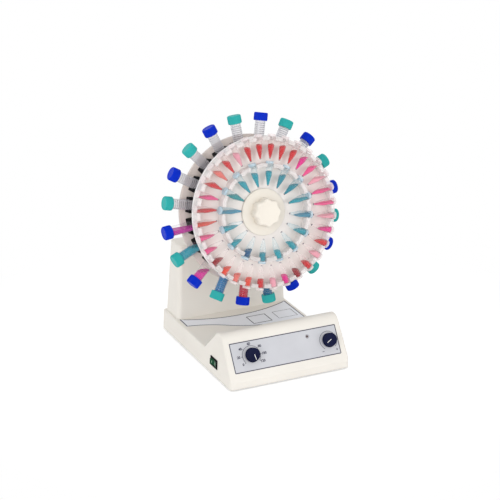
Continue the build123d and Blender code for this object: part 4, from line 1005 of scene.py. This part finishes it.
side, back_y, front_y = deck_high[0], deck_high[1], deck_low[1]
left_front = back_y - LABEL_NOTCH
bend = ((LABEL_NOTCH_X - side) / 2, (front_y + left_front) / 2)
run, rise = (LABEL_NOTCH_X + side) / 4, (left_front - front_y) * LABEL_HOLLOW
outline = np.vstack(
    [
        through((side, back_y), (0, back_y - LABEL_DIP), (-side, back_y)),
        through((-side, left_front), (run - side, left_front - rise), bend),
        through(bend, (LABEL_NOTCH_X - run, front_y + rise), (LABEL_NOTCH_X, front_y))[1:],
        [(side, front_y)],
    ]
)
marks = [
    ribbon(inset(outline, OUTLINE_INSET), OUTLINE_WIDTH, True),
    ribbon(rounded_frame(8, 14, 42, 44, 0.6), 1.6, True),
    ribbon(rounded_frame(57, 17, 92, 45, 0.6), 0.9, True),
]
deck_print = piece("deck_printing", repeated(joined(marks), [deck]), ink, "base")


# ------------------------------------------------------------------ studio
# Plain pale floor, white surroundings and soft light from large panels.  The floor keeps the
# object's shadow and goes white further out, so that no horizon shows.


def seen_by_camera(tree):
    """1 for what the camera sees, straight or by gloss and glass, and 0 for what lights."""
    path = tree.nodes.new("ShaderNodeLightPath")
    shiny = calculate(tree, "MAXIMUM", path.outputs["Is Glossy Ray"], path.outputs["Is Transmission Ray"])
    return calculate(tree, "MAXIMUM", path.outputs["Is Camera Ray"], shiny)


def floor_material():
    """Pale matt paint that turns white: its share is growth (distance - start), from 0 to 1."""
    glow_near, growth, start = 0.32, 3.0, 0.2
    material = finish("floor_paint", COATED, (0.93, 0.93, 0.93), (0.92, 0.92, 0.92), 0.8, 0.0)
    tree = material.node_tree
    paint, target = tree.nodes["Principled BSDF"], tree.nodes["Material Output"]
    seen = seen_by_camera(tree)
    glow, plain = tree.nodes.new("ShaderNodeEmission"), tree.nodes.new("ShaderNodeEmission")
    tree.links.new(calculate(tree, "MULTIPLY", seen, glow_near), glow.inputs["Strength"])
    near = tree.nodes.new("ShaderNodeAddShader")
    tree.links.new(paint.outputs[0], near.inputs[0])
    tree.links.new(glow.outputs[0], near.inputs[1])
    place, reach = tree.nodes.new("ShaderNodeTexCoord"), tree.nodes.new("ShaderNodeVectorMath")
    reach.operation = "LENGTH"
    tree.links.new(place.outputs["Object"], reach.inputs[0])
    white = calculate(tree, "MULTIPLY_ADD", reach.outputs["Value"], growth, -growth * start)
    far = calculate(tree, "SMOOTH_MIN", white, 1.0, 0.1)
    share = calculate(tree, "MULTIPLY", calculate(tree, "MAXIMUM", far, 0.0), seen)
    choice = tree.nodes.new("ShaderNodeMixShader")
    tree.links.new(share, choice.inputs[0])
    tree.links.new(near.outputs[0], choice.inputs[1])
    tree.links.new(plain.outputs[0], choice.inputs[2])
    tree.links.new(choice.outputs[0], target.inputs["Surface"])
    return material


floor_mesh = bpy.data.meshes.new("floor")
floor_mesh.from_pydata([(-6, -6, 0), (6, -6, 0), (6, 6, 0), (-6, 6, 0)], [], [(0, 1, 2, 3)])
floor_mesh.materials.append(floor_material())
floor = bpy.data.objects.new("floor", floor_mesh)
bpy.context.scene.collection.objects.link(floor)


def panel_light(name, place, aim, size, power):
    """Square softbox aimed at a point."""
    light = bpy.data.lights.new(name, "AREA")
    light.size = size
    light.energy = power
    lamp = bpy.data.objects.new(name, light)
    lamp.location = place
    lamp.rotation_euler = (Vector(aim) - Vector(place)).to_track_quat("-Z", "Y").to_euler()
    bpy.context.scene.collection.objects.link(lamp)


panel_light("key_light", (-1.9, -1.9, 1.2), (0, 0, 0.2), 1.5, 26)
panel_light("fill_light", (1.3, -2.3, 0.9), (0, 0, 0.2), 1.6, 12)
panel_light("top_light", (0.2, 0.6, 2.4), (0, 0, 0.1), 1.6, 3)

world = bpy.data.worlds.new("surroundings")
bpy.context.scene.world = world
world.use_nodes = True
around = world.node_tree
around.nodes.clear()
choice = around.nodes.new("ShaderNodeMixShader")
around.links.new(seen_by_camera(around), choice.inputs[0])
for socket, strength in ((1, 0.74), (2, 1.0)):
    white_light = around.nodes.new("ShaderNodeBackground")
    white_light.inputs["Color"].default_value = (1, 1, 1, 1)
    white_light.inputs["Strength"].default_value = strength
    around.links.new(white_light.outputs[0], choice.inputs[socket])
target = around.nodes.new("ShaderNodeOutputWorld")
around.links.new(choice.outputs[0], target.inputs["Surface"])


# ------------------------------------------------------------------ camera
# A long lens, in front of the object to its left and a little above it, and turned very
# slightly about its own axis.

azimuth, elevation, roll = radians(25.83), radians(20.96), radians(0.46)
right = Vector((cos(azimuth), -sin(azimuth), 0))
up = Vector((sin(azimuth) * sin(elevation), cos(azimuth) * sin(elevation), cos(elevation)))
forward = Vector((sin(azimuth) * cos(elevation), cos(azimuth) * cos(elevation), -sin(elevation)))
level_right = cos(roll) * right + sin(roll) * up
level_up = cos(roll) * up - sin(roll) * right
camera_data = bpy.data.cameras.new("camera")
camera_data.sensor_width = 36
camera_data.lens = 111.58
camera = bpy.data.objects.new("camera", camera_data)
turned_to = Matrix((level_right, level_up, -forward)).transposed()
camera.matrix_world = Matrix.Translation((-1.0412, -2.1357, 1.0861)) @ turned_to.to_4x4()
bpy.context.scene.collection.objects.link(camera)
bpy.context.scene.camera = camera
bpy.context.scene.view_settings.view_transform = "Standard"
